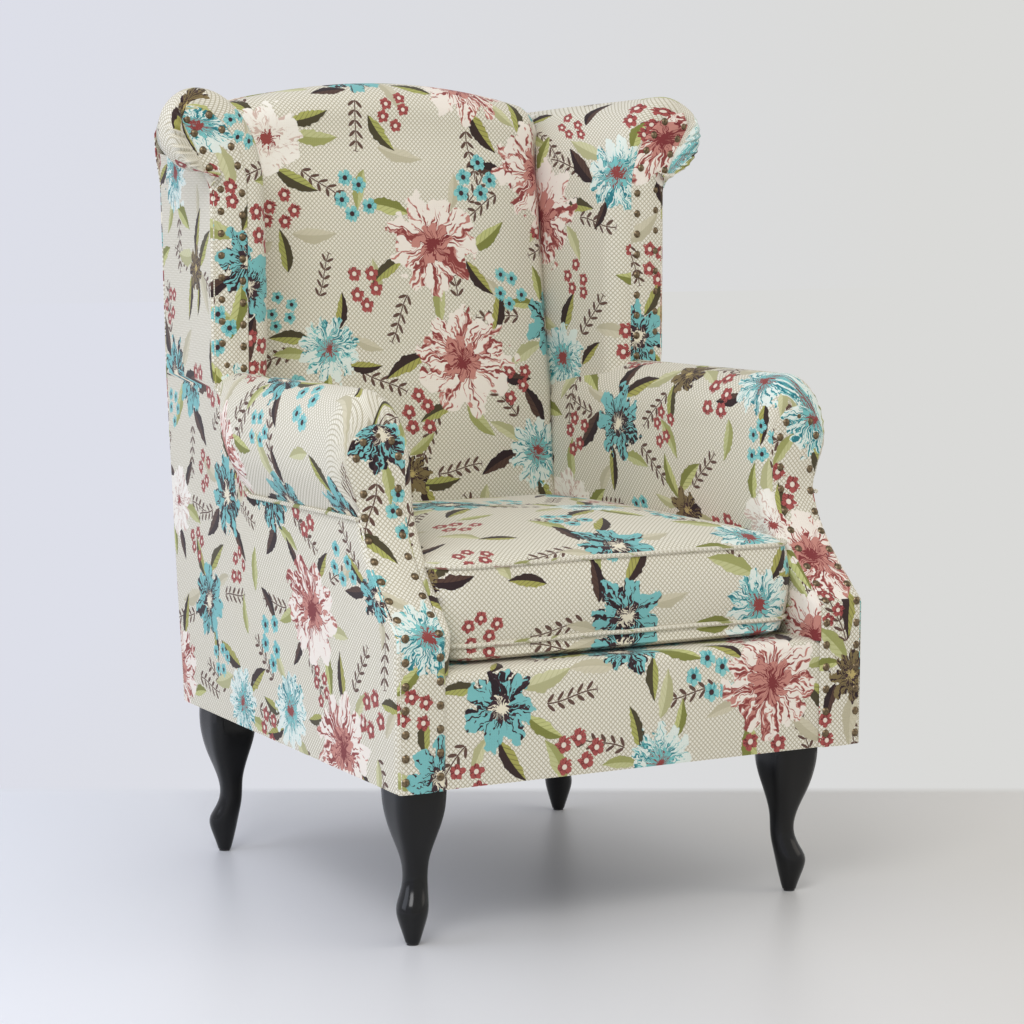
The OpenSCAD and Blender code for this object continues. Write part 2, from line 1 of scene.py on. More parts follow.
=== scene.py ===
import bpy
import json
import math
import numpy as np
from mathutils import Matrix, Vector

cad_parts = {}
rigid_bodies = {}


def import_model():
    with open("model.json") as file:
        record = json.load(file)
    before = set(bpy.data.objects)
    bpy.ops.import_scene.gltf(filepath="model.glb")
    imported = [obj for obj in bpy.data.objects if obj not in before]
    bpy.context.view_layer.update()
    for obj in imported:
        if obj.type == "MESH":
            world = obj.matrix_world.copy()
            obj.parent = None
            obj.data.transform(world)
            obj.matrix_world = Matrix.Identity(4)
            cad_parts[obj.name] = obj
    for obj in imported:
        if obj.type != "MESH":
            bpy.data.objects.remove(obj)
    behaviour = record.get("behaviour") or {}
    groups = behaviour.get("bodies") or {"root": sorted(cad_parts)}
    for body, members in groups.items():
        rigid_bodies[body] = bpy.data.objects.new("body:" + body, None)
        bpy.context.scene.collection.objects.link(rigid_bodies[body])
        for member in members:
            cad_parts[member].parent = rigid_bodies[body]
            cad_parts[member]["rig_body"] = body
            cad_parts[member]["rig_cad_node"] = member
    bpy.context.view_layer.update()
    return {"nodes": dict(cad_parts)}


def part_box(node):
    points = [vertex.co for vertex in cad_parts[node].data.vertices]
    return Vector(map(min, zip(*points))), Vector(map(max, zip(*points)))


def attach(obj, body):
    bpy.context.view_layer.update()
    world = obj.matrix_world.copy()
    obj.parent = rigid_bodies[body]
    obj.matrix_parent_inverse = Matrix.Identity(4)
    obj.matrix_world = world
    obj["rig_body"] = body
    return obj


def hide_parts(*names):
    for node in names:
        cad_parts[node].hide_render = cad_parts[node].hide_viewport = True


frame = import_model()
print("chair: frame loaded,", len(frame["nodes"]), "parts")

# the chair's own measures, in metres behind its front face, which the cloth follows
frontY = -0.397
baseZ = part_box("front_border")[0].z
chair = {
    "halfFront": 0.341, "taper": 0.0491, "depth": 0.733, "shoulderZ": 0.395, "neckZ": 0.552, "setback": 0.108,
    "rollX": 0.315, "rollZ": 0.607, "rollHalfW": 0.052, "rollHalfH": 0.077, "seamZ": 0.529,
    "wingD": 0.505, "wingX": 0.370, "wingZ": 1.005, "wingR": 0.057, "wingTurn": 0.33, "wingTaper": 0.077,
    "wingLowZ": 0.925, "wingInX": 0.243,
    "backTop": 1.080, "arch": 0.55, "seatTop": 0.487, "deckZ": 0.348}


def part(t, low, high):
    # how far t has gone from low to high, held between 0 and 1
    return np.clip((t - low) / (high - low), 0, 1)


def stretches(v, inside, over):
    # up the inside, over the roll, and down its far side
    return part(v, 0, inside), part(v, inside, over), part(v, over, 1)


def smooth(t, low=0.0, high=1.0):
    t = part(t, low, high)
    return t * t * (3 - 2 * t)


def blendTo(a, b, t):
    return a + (b - a) * t


def sweep(z):
    t = np.clip((z - chair["shoulderZ"]) / (chair["neckZ"] - chair["shoulderZ"]), 0, 1)
    return chair["setback"] * np.sin(t * math.pi / 2)


def baseX(d):
    return chair["halfFront"] - chair["taper"] * d


def sideX(d, z):
    d, z = np.broadcast_arrays(d, z)
    lean = np.where(d < 0.505, 0.008 + 0.064 * (d / 0.505) ** 2, 0.072 - 0.052 * (d - 0.505) / 0.255)
    return baseX(d) + lean * np.minimum(z - baseZ, 0.473)


def armInX(d):
    return 0.268 - 0.047 * d


def rearD(z):
    return chair["depth"] + 0.074 * (z - baseZ)


def seatBackD(z):
    return 0.603 + 0.125 * (z - 0.48)


def armSeamZ(d):
    # the welted seam under the roll climbs where the arm meets the wing
    return chair["seamZ"] + 0.136 * smooth(d, 0.415, 0.50) ** 1.3


def toPoints(x, d, z):
    x, d, z = np.broadcast_arrays(x, d, z)
    return np.stack([x, frontY + d, z], axis=-1)


def deselectAll():
    if bpy.context.object and bpy.context.object.mode != "OBJECT":
        bpy.ops.object.mode_set(mode="OBJECT")
    bpy.ops.object.select_all(action="DESELECT")


def applyAll(piece):
    deselectAll()
    piece.select_set(True)
    bpy.context.view_layer.objects.active = piece
    for modifier in list(piece.modifiers):
        bpy.ops.object.modifier_apply(modifier=modifier.name)


def smoothShade(piece, angle=40):
    deselectAll()
    piece.select_set(True)
    bpy.context.view_layer.objects.active = piece
    bpy.ops.object.shade_smooth_by_angle(angle=math.radians(angle))


def finishPiece(piece, replaced=(), body="chair"):
    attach(piece, body)
    if replaced:
        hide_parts(*replaced)


def laidGrid(name, grid):
    # a flat grid laid point by point over a shape, with its cloth map measured along itself in metres
    columns, rows = grid.shape[0] - 1, grid.shape[1] - 1
    deselectAll()
    bpy.ops.mesh.primitive_grid_add(x_subdivisions=columns, y_subdivisions=rows, size=1)
    piece = bpy.context.object
    piece.name = piece.data.name = name
    mesh = piece.data
    flat = np.zeros(len(mesh.vertices) * 3)
    mesh.vertices.foreach_get("co", flat)
    flat = flat.reshape(-1, 3)
    column = np.rint((flat[:, 0] + 0.5) * columns).astype(int)
    row = np.rint((flat[:, 1] + 0.5) * rows).astype(int)
    along = np.zeros((columns + 1, rows + 1))
    across = np.zeros((columns + 1, rows + 1))
    along[1:, :] = np.cumsum(np.linalg.norm(np.diff(grid, axis=0), axis=2), axis=0)
    across[:, 1:] = np.cumsum(np.linalg.norm(np.diff(grid, axis=1), axis=2), axis=1)
    along -= along[columns // 2:columns // 2 + 1, :]
    mesh.vertices.foreach_set("co", grid[column, row].ravel())
    corner = np.zeros(len(mesh.loops), int)
    mesh.loops.foreach_get("vertex_index", corner)
    mesh.uv_layers[0].name = "cloth"
    measured = np.stack([along[column, row], across[column, row]], axis=1)
    mesh.uv_layers["cloth"].data.foreach_set("uv", measured[corner].ravel())
    mesh.update()
    return piece, column, row


def tube(name, rings, closed=False):
    # rings of points joined into a closed skin, capped at both ends or joined end to end
    grid = np.concatenate([rings, rings[:, :1]], axis=1)
    if closed:
        grid = np.concatenate([grid, grid[:1]])
    piece = laidGrid(name, grid)[0]
    bpy.ops.object.mode_set(mode="EDIT")
    bpy.ops.mesh.select_all(action="SELECT")
    bpy.ops.mesh.remove_doubles(threshold=1e-6)
    if not closed:
        bpy.ops.mesh.fill_holes(sides=0)
    bpy.ops.mesh.normals_make_consistent(inside=False)
    bpy.ops.object.mode_set(mode="OBJECT")
    return piece


def clothPanel(name, shape, columns, rows, side=1, facing=(0, -1, 0), thickness=0.0016, drop=None):
    # cloth laid over shape(u, v), cut where drop says so, then given thickness
    u, v = np.meshgrid(np.linspace(0, 1, columns + 1), np.linspace(0, 1, rows + 1), indexing="ij")
    piece, column, row = laidGrid(name, shape(u, v) * np.array([side, 1, 1]))
    mesh = piece.data
    if drop is not None:
        bpy.ops.object.mode_set(mode="EDIT")
        bpy.ops.mesh.select_mode(type="FACE")
        bpy.ops.mesh.select_all(action="DESELECT")
        bpy.ops.object.mode_set(mode="OBJECT")
        for polygon in mesh.polygons:
            cells = [(column[i], row[i]) for i in polygon.vertices]
            polygon.select = bool(drop(sum(c[0] for c in cells) / 4, sum(c[1] for c in cells) / 4))
        bpy.ops.object.mode_set(mode="EDIT")
        bpy.ops.mesh.delete(type="FACE")
        bpy.ops.object.mode_set(mode="OBJECT")
    middle = mesh.polygons[len(mesh.polygons) // 2]
    if middle.normal.dot(Vector(facing) * Vector((side, 1, 1))) < 0:
        bpy.ops.object.mode_set(mode="EDIT")
        bpy.ops.mesh.select_all(action="SELECT")
        bpy.ops.mesh.flip_normals()
        bpy.ops.object.mode_set(mode="OBJECT")
    solid = piece.modifiers.new("thickness", "SOLIDIFY")
    solid.thickness = thickness
    solid.offset = -1
    solid.use_quality_normals = True
    applyAll(piece)
    smoothShade(piece)
    return piece


def weltCord(name, points, radius, closed=False):
    # cord covered in cloth, swept along a line of points
    ahead = np.roll(points, -1, 0) - np.roll(points, 1, 0)
    if not closed:
        ahead[0], ahead[-1] = points[1] - points[0], points[-1] - points[-2]
    ahead /= np.linalg.norm(ahead, axis=1)[:, None]
    sides = np.cross(ahead, np.where(np.abs(ahead[:, 2:]) < 0.9, [[0, 0, 1]], [[1, 0, 0]]))
    sides /= np.linalg.norm(sides, axis=1)[:, None]
    ups = np.cross(sides, ahead)
    turns = np.linspace(0, math.tau, 10, endpoint=False)[None, :, None]
    skin = np.cos(turns) * sides[:, None] + np.sin(turns) * ups[:, None]
    piece = tube(name, points[:, None] + radius * skin, closed)
    smoothShade(piece, 60)
    return piece


# the scroll that the arm cloth is pinned round at the front
scroll = {"x": 0.3125, "z": 0.600, "r": 0.040, "outR": 0.0415}

# arms: the cloth of the inside and the roll, gathered round the front edge onto the facing
arm = {"columns": 90, "rows": 84, "inside": 0.44, "over": 0.66, "edge": 0.16, "footZ": 0.346,
       "insidePuff": 0.007, "pleats": 30, "pleatDepth": 0.0013}


def armSection(d, v):
    # v runs up the inside, over the roll and down to the seam
    low, rise, fall = stretches(v, arm["inside"], arm["over"])
    halfIn = chair["rollX"] - armInX(d)
    puff = arm["insidePuff"] * np.sin(low * math.pi) ** 0.7
    x = armInX(d) - puff
    z = blendTo(arm["footZ"], chair["rollZ"], low)
    angle = rise * math.pi / 2
    x = np.where(v > arm["inside"], chair["rollX"] - halfIn * np.cos(angle), x)
    z = np.where(v > arm["inside"], chair["rollZ"] + chair["rollHalfH"] * np.sin(angle), z)
    seam = armSeamZ(d)
    end = np.arcsin(np.clip((seam - chair["rollZ"]) / chair["rollHalfH"], -0.93, 0.95))
    angle = blendTo(math.pi / 2, end, fall)
    tuck = smooth(fall, 0.72, 1.0)
    outX = chair["rollX"] + chair["rollHalfW"] * np.cos(angle)
    outZ = chair["rollZ"] + chair["rollHalfH"] * np.sin(angle)
    x = np.where(v > arm["over"], blendTo(outX, sideX(d, seam) + 0.0005, tuck), x)
    z = np.where(v > arm["over"], blendTo(outZ, seam, tuck), z)
    return x, z


def facingEdge(v):
    # the line on the arm front where the cloth ends, for the same v as armSection
    low, rise, fall = stretches(v, arm["inside"], arm["over"])
    x = blendTo(0.2765, 0.2725, low)
    z = blendTo(arm["footZ"], 0.598, low)
    angle = math.pi - rise * math.pi / 2
    x = np.where(v > arm["inside"], scroll["x"] + scroll["r"] * np.cos(angle), x)
    z = np.where(v > arm["inside"], scroll["z"] + scroll["r"] * np.sin(angle), z)
    angle = math.pi / 2 - fall * 2.05
    x = np.where(v > arm["over"], scroll["x"] + scroll["outR"] * np.cos(angle), x)
    z = np.where(v > arm["over"], scroll["z"] + scroll["r"] * np.sin(angle), z)
    low = smooth(fall, 0.8, 1.0)
    return blendTo(x, 0.336, low), blendTo(z, chair["seamZ"] + 0.004, low)


def armCloth(u, v):
    edge = arm["edge"]
    turn, along = part(u, 0, edge), part(u, edge, 1)
    edgeX, edgeZ = facingEdge(v)
    startD = sweep(edgeZ) + 0.0015
    depth = blendTo(0.022, 0.036, smooth(v, 0.40, 0.55))
    x0, z0 = armSection(startD + depth, v)
    swell = np.sin(turn * math.pi / 2) ** 0.9
    pleated = smooth(v, 0.70, 0.80) * (1 - smooth(v, 0.97, 1.0))
    pleat = arm["pleatDepth"] * np.cos(v * arm["pleats"] * math.tau) * pleated
    pleat = pleat * np.sin(turn * math.pi) * (1 - along)
    d = startD + depth * (1 - np.cos(turn * math.pi / 2))
    x = blendTo(edgeX, x0, swell) + pleat
    z = blendTo(edgeZ, z0, swell) + pleat * 0.5
    insideEnd = seatBackD(z0) + 0.012
    endD = blendTo(insideEnd, 0.509, smooth(v, 0.60, 0.70))
    dFar = startD + depth + (endD - startD - depth) * along
    xFar, zFar = armSection(dFar, v)
    x = np.where(u > edge, xFar, x)
    z = np.where(u > edge, zFar, z)
    d = np.where(u > edge, dFar, d)
    sag = 0.0016 * np.sin(d * 23 + 1.3) * np.sin(v * 9) * smooth(v, 0.1, 0.5)
    return toPoints(x + sag, d, z)


# the arm front: a strip that widens into the scroll, with its nails 7 mm in from the edges
facing = {"columns": 22, "rows": 96, "puff": 0.0020, "straight": 0.84,
          "topX": 0.3130, "topZ": 0.599, "topR": 0.0425}


def facingCloth(u, v):
    z = blendTo(baseZ - 0.001, facing["topZ"], part(v, 0, facing["straight"]))
    angle = part(v, facing["straight"], 1) * math.pi / 2
    atTop = v > facing["straight"]
    z = np.where(atTop, facing["topZ"] + 0.0435 * np.sin(angle), z)
    inX = blendTo(0.2755, 0.2705, smooth(z, 0.40, 0.60))
    outX = sideX(sweep(z), z) - 0.0012
    outX = blendTo(outX, 0.3555, smooth(z, 0.535, 0.600))
    inX = np.where(atTop, facing["topX"] - facing["topR"] * np.cos(angle), inX)
    outX = np.where(atTop, facing["topX"] + facing["topR"] * np.cos(angle), outX)
    x = blendTo(inX, outX, u)
    across = np.abs(2 * u - 1)
    edge = smooth(across, 0.86, 1.0)
    puff = facing["puff"] * np.cos(np.clip(across / 0.6, 0, 1) * math.pi / 2)
    return toPoints(x, sweep(z) - puff + 0.0035 * edge - 0.0002, z)


# the outside of the arm and wing: one piece of cloth, cut round the wing's front
outside = {"columns": 88, "rows": 96, "lowRows": 50, "armColumns": 60, "wingTop": 0.95, "rollTop": 0.956}


def outsideCloth(u, v):
    split = outside["armColumns"] / outside["columns"]
    lowShare = outside["lowRows"] / outside["rows"]
    forward, back = part(u, 0, split), part(u, split, 1)
    low, high = part(v, 0, lowShare), part(v, lowShare, 1)
    guess = forward * chair["wingD"]
    z = blendTo(baseZ, armSeamZ(guess), low)
    d = blendTo(sweep(z), chair["wingD"], forward)
    z = blendTo(baseZ, armSeamZ(d), low)
    seam = armSeamZ(chair["wingD"])
    z = np.where(v > lowShare, blendTo(seam, outside["wingTop"], high), z)
    dBack = blendTo(chair["wingD"], rearD(z) - 0.001, back)
    d = np.where(u > split, dBack, d)
    top = outside["rollTop"] + chair["wingTaper"] * (d - chair["wingD"])
    z = np.where((u > split) & (v > lowShare), blendTo(seam, top, high), z)
    tucked = 0.0045 * (1 - smooth(d - sweep(z), 0, 0.006)) + 0.003 * (1 - smooth(rearD(z) - d, 0, 0.006))
    x = sideX(d, z) - tucked
    sag = 0.0012 * np.sin(d * 11) * np.sin((z - baseZ) * 8)
    return toPoints(x + sag, d, z)


# wings: the cloth of the inside goes over the roll to its underside and is gathered at the front
wing = {"columns": 64, "rows": 108, "inside": 0.46, "over": 0.64, "edge": 0.22, "footZ": 0.612,
        "pleats": 15, "pleatDepth": 0.0030}


def wingSection(d, v):
    # the roll turns in and thins towards the back, until it lies inside the outside cloth
    run = d - chair["wingD"]
    inner = np.maximum(chair["wingInX"], 0.272 - 0.17 * run)
    cx = chair["wingX"] - chair["wingTurn"] * run
    cz = chair["wingZ"]
    r = chair["wingR"] - chair["wingTaper"] * run
    low, rise, fall = stretches(v, wing["inside"], wing["over"])
    x = inner - 0.004 * np.sin(low * math.pi)
    z = blendTo(wing["footZ"], chair["wingLowZ"], low)
    angle = rise * math.pi / 2
    # the top is fuller than an ellipse towards the back, where it meets the arched back
    full = blendTo(1.0, 0.62, smooth(run, 0.02, 0.20))
    x = np.where(v > wing["inside"], cx - (cx - inner) * np.cos(angle) ** full, x)
    z = np.where(v > wing["inside"], blendTo(chair["wingLowZ"], cz + r, np.sin(angle) ** full), z)
    angle = math.pi / 2 - fall * math.radians(204)
    x = np.where(v > wing["over"], cx + r * np.cos(angle), x)
    z = np.where(v > wing["over"], cz + r * np.sin(angle), z)
    return x, z


def wingEdge(v):
    low, rise, fall = stretches(v, wing["inside"], wing["over"])
    x = 0.300 + 0 * v
    z = blendTo(wing["footZ"], chair["wingLowZ"], low)
    x = np.where(v > wing["inside"], blendTo(0.300, 0.384, 1 - np.cos(rise * math.pi / 2)), x)
    z = np.where(v > wing["inside"], blendTo(chair["wingLowZ"], 1.036, np.sin(rise * math.pi / 2)), z)
    tip = smooth(fall, 0, 0.22)
    x = np.where(v > wing["over"], blendTo(0.384, 0.3935, tip), x)
    z = np.where(v > wing["over"], blendTo(1.036, 1.016, tip), z)
    down = np.clip((fall - 0.22) / 0.78, 0, 1)
    x = np.where(fall > 0.22, blendTo(0.3935, 0.3535, down ** 0.8), x)
    z = np.where(fall > 0.22, blendTo(1.016, 0.930, down), z)
    return x, z


def wingCloth(u, v):
    edge = wing["edge"]
    turn, along = part(u, 0, edge), part(u, edge, 1)
    startD = chair["wingD"] + 0.0015
    roll = smooth(v, 0.55, 0.70)
    depth = blendTo(0.026, 0.020, roll)
    bulge = 0.016 * smooth(v, 0.66, 0.78)
    edgeX, edgeZ = wingEdge(v)
    x0, z0 = wingSection(startD + depth, v)
    swell = np.sin(turn * math.pi / 2) ** 0.85
    fold = np.cos((v - 0.66) / 0.34 * wing["pleats"] * math.tau) * smooth(v, 0.70, 0.80)
    d = startD + depth * (1 - np.cos(turn * math.pi / 2)) - bulge * np.sin(turn * math.pi) ** 1.2
    d = d - wing["pleatDepth"] * fold * np.sin(turn * math.pi) ** 0.7
    x = blendTo(edgeX, x0, swell)
    z = blendTo(edgeZ, z0, swell)
    endD = blendTo(seatBackD(z0) + 0.02, rearD(z0) - 0.001, smooth(v, 0.50, 0.58))
    dFar = startD + depth + (endD - startD - depth) * along
    xFar, zFar = wingSection(dFar, v)
    fade = 0.0008 * fold * np.exp(-along * 14)
    x = np.where(u > edge, xFar + fade, x)
    z = np.where(u > edge, zFar + fade, z)
    d = np.where(u > edge, dFar, d)
    return toPoints(x, d, z)


wingFront = {"columns": 20, "rows": 90, "puff": 0.0018, "straight": 0.66}


def wingFrontCloth(u, v):
    # a strip up the wing's front that leans out and narrows to a tip on the roll
    straight = wingFront["straight"]
    rise = part(v, straight, 1)
    atTop = v > straight
    z = blendTo(0.640, chair["wingLowZ"], part(v, 0, straight))
    angle = rise * math.pi / 2
    inX = np.where(atTop, blendTo(0.2995, 0.386, 1 - np.cos(angle)), 0.2995)
    inZ = np.where(atTop, chair["wingLowZ"] + 0.1125 * np.sin(angle), z)
    outX = 0.3475 + 0.0065 * smooth(z, 0.64, 0.70) - 0.006 * (1 - smooth(z, 0.60, 0.68))
    outX = np.where(atTop, blendTo(0.354, 0.3945, rise ** 1.25), outX)
    outZ = np.where(atTop, blendTo(chair["wingLowZ"], 1.016, rise), z)
    x = blendTo(inX, outX, u)
    z = blendTo(inZ, outZ, u)
    across = np.abs(2 * u - 1)
    puff = wingFront["puff"] * np.cos(np.clip(across / 0.6, 0, 1) * math.pi / 2)
    return toPoints(x, chair["wingD"] - puff + 0.003 * smooth(across, 0.88, 1.0) - 0.0002, z)


# the inside back: padded, fuller in the middle, rolling over the arched top to the outside back
inBack = {"columns": 84, "rows": 118, "puff": 0.016, "halfW": 0.250, "topRadius": 0.046,
          "over": 0.83, "turn": 0.62}


def backCloth(u, v):
    across = 2 * u - 1
    x = inBack["halfW"] * across
    top = chair["backTop"] - 0.0015 - chair["arch"] * x * x
    over, r, turning = inBack["over"], inBack["topRadius"], inBack["turn"]
    low = part(v, 0, over)
    z = blendTo(0.347, top - r, low)
    side = np.abs(across)
    fullness = inBack["puff"] * (1 - side ** 3.2)
    tuck = 0.022 * smooth(side, 0.90, 1.0)
    puff = fullness * np.sin(part(z, 0.40, 1.10) * math.pi * 0.82 + 0.25) ** 0.8
    lumbar = 0.008 * np.exp(-((z - 0.62) / 0.10) ** 2) * (1 - side ** 2.4)
    d = seatBackD(z) - puff - lumbar + tuck
    turn = part(v, over, 1)
    endD = rearD(top) - 0.006
    startD = seatBackD(top - r) - fullness * 0.62 + tuck
    angle = part(turn, 0, turning) * math.pi / 2
    dTurn = startD + r * (1 - np.cos(angle))
    zTurn = top - r + r * np.sin(angle)
    flat = part(turn, turning, 1)
    dTurn = np.where(turn > turning, blendTo(startD + r, endD, flat), dTurn)
    zTurn = np.where(turn > turning, top - 0.010 * flat ** 2, zTurn)
    join = smooth(v, over - 0.10, over)
    d = np.where(v > over, dTurn, blendTo(d, startD, join))
    z = np.where(v > over, zTurn, z)
    return toPoints(x, d, z)


outBack = {"columns": 72, "rows": 96, "puff": 0.004, "straight": 0.84, "run": 0.285}


def outBackCloth(u, v):
    # the outline goes up the sides, out round the rolls and over the arch
    across = 2 * u - 1
    side = np.abs(across)
    z0 = blendTo(baseZ, chair["wingLowZ"], part(v, 0, outBack["straight"]))
    half = sideX(rearD(z0), z0) - 0.001
    run = outBack["run"]
    lowZ, inX = chair["wingLowZ"], chair["wingInX"]
    cx = chair["wingX"] - chair["wingTurn"] * run
    cz = chair["wingZ"]
    r = chair["wingR"] - chair["wingTaper"] * run - 0.001
    lift = part(v, outBack["straight"], 1)
    x1 = side * (cx + r + 0.004)
    roll = np.where(x1 > cx, cz + np.sqrt(np.maximum(r * r - (x1 - cx) ** 2, 0)),
                    lowZ + (cz + r - lowZ) * (1 - np.clip((cx - x1) / (cx - inX), 0, 1) ** 3.2) ** 0.31)
    arch = chair["backTop"] - 0.004 - chair["arch"] * x1 * x1
    top = np.where(x1 < 0.250, np.maximum(arch, np.where(x1 > inX, roll, 0)), roll)
    x = np.sign(across) * blendTo(side * half, x1, smooth(lift, 0, 0.75))
    z = np.where(v > outBack["straight"], blendTo(lowZ, top, lift), z0)
    edge = np.maximum(smooth(side, 0.975, 1.0), smooth(v, 0.985, 1.0))
    puff = outBack["puff"] * np.cos(side * math.pi / 2) * np.sin(v * math.pi)
    return toPoints(x, rearD(z) + puff - 0.003 * edge, z)


border = {"columns": 78, "rows": 34, "puff": 0.003, "halfW": 0.2770,
          "face": 0.62, "edge": 0.74, "edgeR": 0.012,
          "front": 0.0045, "faceTop": 0.337}


def borderCloth(u, v):
    # up the front rail, over its edge and back onto the deck
    face, r, top = border["face"], border["edgeR"], border["faceTop"]
    x = blendTo(-border["halfW"], border["halfW"], u)
    up = part(v, 0, face)
    over = part(v, face, border["edge"]) * math.pi / 2
    flat = part(v, border["edge"], 1)
    puff = border["puff"] * np.sin(up * math.pi) ** 0.8 * (1 - np.abs(2 * u - 1) ** 6)
    z = np.where(v < face, blendTo(baseZ - 0.001, top, up), top + r * np.sin(over))
    d = border["front"] + np.where(v < face, -puff, r * (1 - np.cos(over)) + 0.062 * flat)
    return toPoints(x * np.where(v > 0.70, 0.963, 1.0), d, z)


deck = {"columns": 40, "rows": 44}


def deckCloth(u, v):
    d = blendTo(0.076, 0.585, v)
    x = blendTo(-1, 1, u) * (armInX(d) - 0.002)
    seam = 0.0014 * np.exp(-((d - 0.11) / 0.003) ** 2)
    return toPoints(x, d, 0.3470 - seam + 0.0006 * np.sin(x * 31) * np.sin(d * 27))


panels = [
    ("insideBack", backCloth, inBack, 0, (0, -1, 0), ("inside_back_cover",), None),
    ("frontBorder", borderCloth, border, 0, (0, -1, 0), ("front_border",), None),
    ("outsideBack", outBackCloth, outBack, 0, (0, 1, 0), ("outside_back_cover",), None)]
for word, side in (("Right", 1), ("Left", -1)):
    node = word.lower()
    panels += [
        ("arm" + word, armCloth, arm, side, (-1, 0, 0.3), ("arm_cover_" + node,), None),
        ("armFront" + word, facingCloth, facing, side, (0, -1, 0), ("arm_facing_" + node,), None),
        ("outside" + word, outsideCloth, outside, side, (1, 0, 0), ("side_cover_" + node,),
            lambda c, r: c < outside["armColumns"] and r > outside["lowRows"]),
        ("wing" + word, wingCloth, wing, side, (-1, 0, 0.1), ("wing_cover_" + node,), None),
        ("wingFront" + word, wingFrontCloth, wingFront, side, (0, -1, 0), ("wing_facing_" + node,), None)]

printed = {}
for name, shape, size, side, faceTo, replaced, drop in panels:
    piece = clothPanel(name, shape, size["columns"], size["rows"], side or 1, faceTo, drop=drop)
    finishPiece(piece, replaced)
    printed[name] = piece
print("chair: cloth panels laid")

seatDeck = clothPanel("seatDeck", deckCloth, deck["columns"], deck["rows"], 1, (0, 0, 1), thickness=0.006)
finishPiece(seatDeck, ("seat_deck",))

# the loose cushion: a box whose faces crown and whose corners stay soft, with a welt round each seam
cushion = {"front": 0.040, "rear": 0.5815, "low": 0.3485, "bottomSeam": 0.3735, "topSeam": 0.4705,
           "crown": 0.510, "corner": 0.040, "fine": 64, "wallRows": 14}
cushionMid = (cushion["front"] + cushion["rear"]) / 2


def cushionPlan(s):
    # a point on the cushion's outline for s from 0 to 1, starting at the middle of its front
    front, rear, r = cushion["front"], cushion["rear"], cushion["corner"]
    halfFront, halfRear = armInX(front) - 0.0035, armInX(rear) - 0.0045
    path = [(0, front), (halfFront - r, front)]
    path += [(halfFront - r + r * math.sin(a), front + r - r * math.cos(a)) for a in np.linspace(0.2, 1.4, 6)]
    path += [(halfFront, front + r), (halfRear, rear - r)]
    path += [(halfRear - r + r * math.cos(a), rear - r + r * math.sin(a)) for a in np.linspace(0.2, 1.4, 6)]
    path += [(halfRear - r, rear), (0, rear)]
    path += [(-x, d) for x, d in reversed(path[1:-1])] + [(0, front)]
    path = np.array(path)
    length = np.concatenate([[0], np.cumsum(np.linalg.norm(np.diff(path, axis=0), axis=1))])
    s = np.asarray(s) * length[-1]
    return np.interp(s, length, path[:, 0]), np.interp(s, length, path[:, 1])


def cushionTop(u, v):
    # square grid pushed out to the outline, so that the rows follow the seam near the edge
    a, b = 2 * u - 1, 2 * v - 1
    ring = np.maximum(np.abs(a), np.abs(b))
    edgeX, edgeD = cushionPlan((np.arctan2(a, -b) / math.tau) % 1.0)
    x = edgeX * ring
    d = cushionMid + (edgeD - cushionMid) * ring
    dome = (1 - ring ** 2.6) ** 0.75
    sat = 0.004 * np.sin(x * 17 + 1) * dome * np.sin(d * 13)
    z = blendTo(cushion["topSeam"], cushion["crown"], dome) + sat
    return toPoints(x, d, z)


def cushionBottom(u, v):
    point = cushionTop(u, v)
    ring = np.maximum(np.abs(2 * u - 1), np.abs(2 * v - 1))
    turn = np.clip((1 - ring) / 0.15, 0, 1)
    dome = np.sqrt(1 - (1 - turn) ** 2)
    point[..., 2] = cushion["bottomSeam"] + (cushion["low"] - cushion["bottomSeam"]) * dome
    out = 1 + 0.075 * np.sin(turn * math.pi) ** 0.6 * (1 - turn)
    midY = frontY + cushionMid
    point[..., 1] = midY + (point[..., 1] - midY) * out
    return point


def cushionWall(u, v):
    # the strip's own seam is at the middle of the back
    x, d = cushionPlan((u + 0.5) % 1.0)
    wave = 0.0016 * np.sin(u * 57) * np.sin(v * math.pi)
    bulge = np.where(d < cushionMid, 0.0085, 0.0040)
    out = bulge * np.sin(v * math.pi) ** 0.8 + wave
    outward = np.stack([x, d - cushionMid], axis=-1)
    outward = outward / np.linalg.norm(outward, axis=-1, keepdims=True)
    atSide = np.abs(outward[..., 0]) > 0.75
    out = np.where(atSide, out * 0.4, out)
    return toPoints(x + outward[..., 0] * out, d + outward[..., 1] * out,
                    blendTo(cushion["bottomSeam"], cushion["topSeam"], v))


faces = []
for name, shape, columns, rows, faceTo in (
        ("cushionTop", cushionTop, cushion["fine"], cushion["fine"], (0, 0, 1)),
        ("cushionBottom", cushionBottom, cushion["fine"], cushion["fine"], (0, 0, -1)),
        ("cushionWall", cushionWall, 256, cushion["wallRows"], (0, 1, 0))):
    faces.append(clothPanel(name, shape, columns, rows, 1, faceTo))
deselectAll()
for piece in faces:
    piece.select_set(True)
bpy.context.view_layer.objects.active = faces[0]
bpy.ops.object.join()
cushionCover = bpy.context.object
cushionCover.name = cushionCover.data.name = "cushionCover"
finishPiece(cushionCover, ("cushion_cover", "cushion_foam"), "seat_cushion")
printed["cushionCover"] = cushionCover

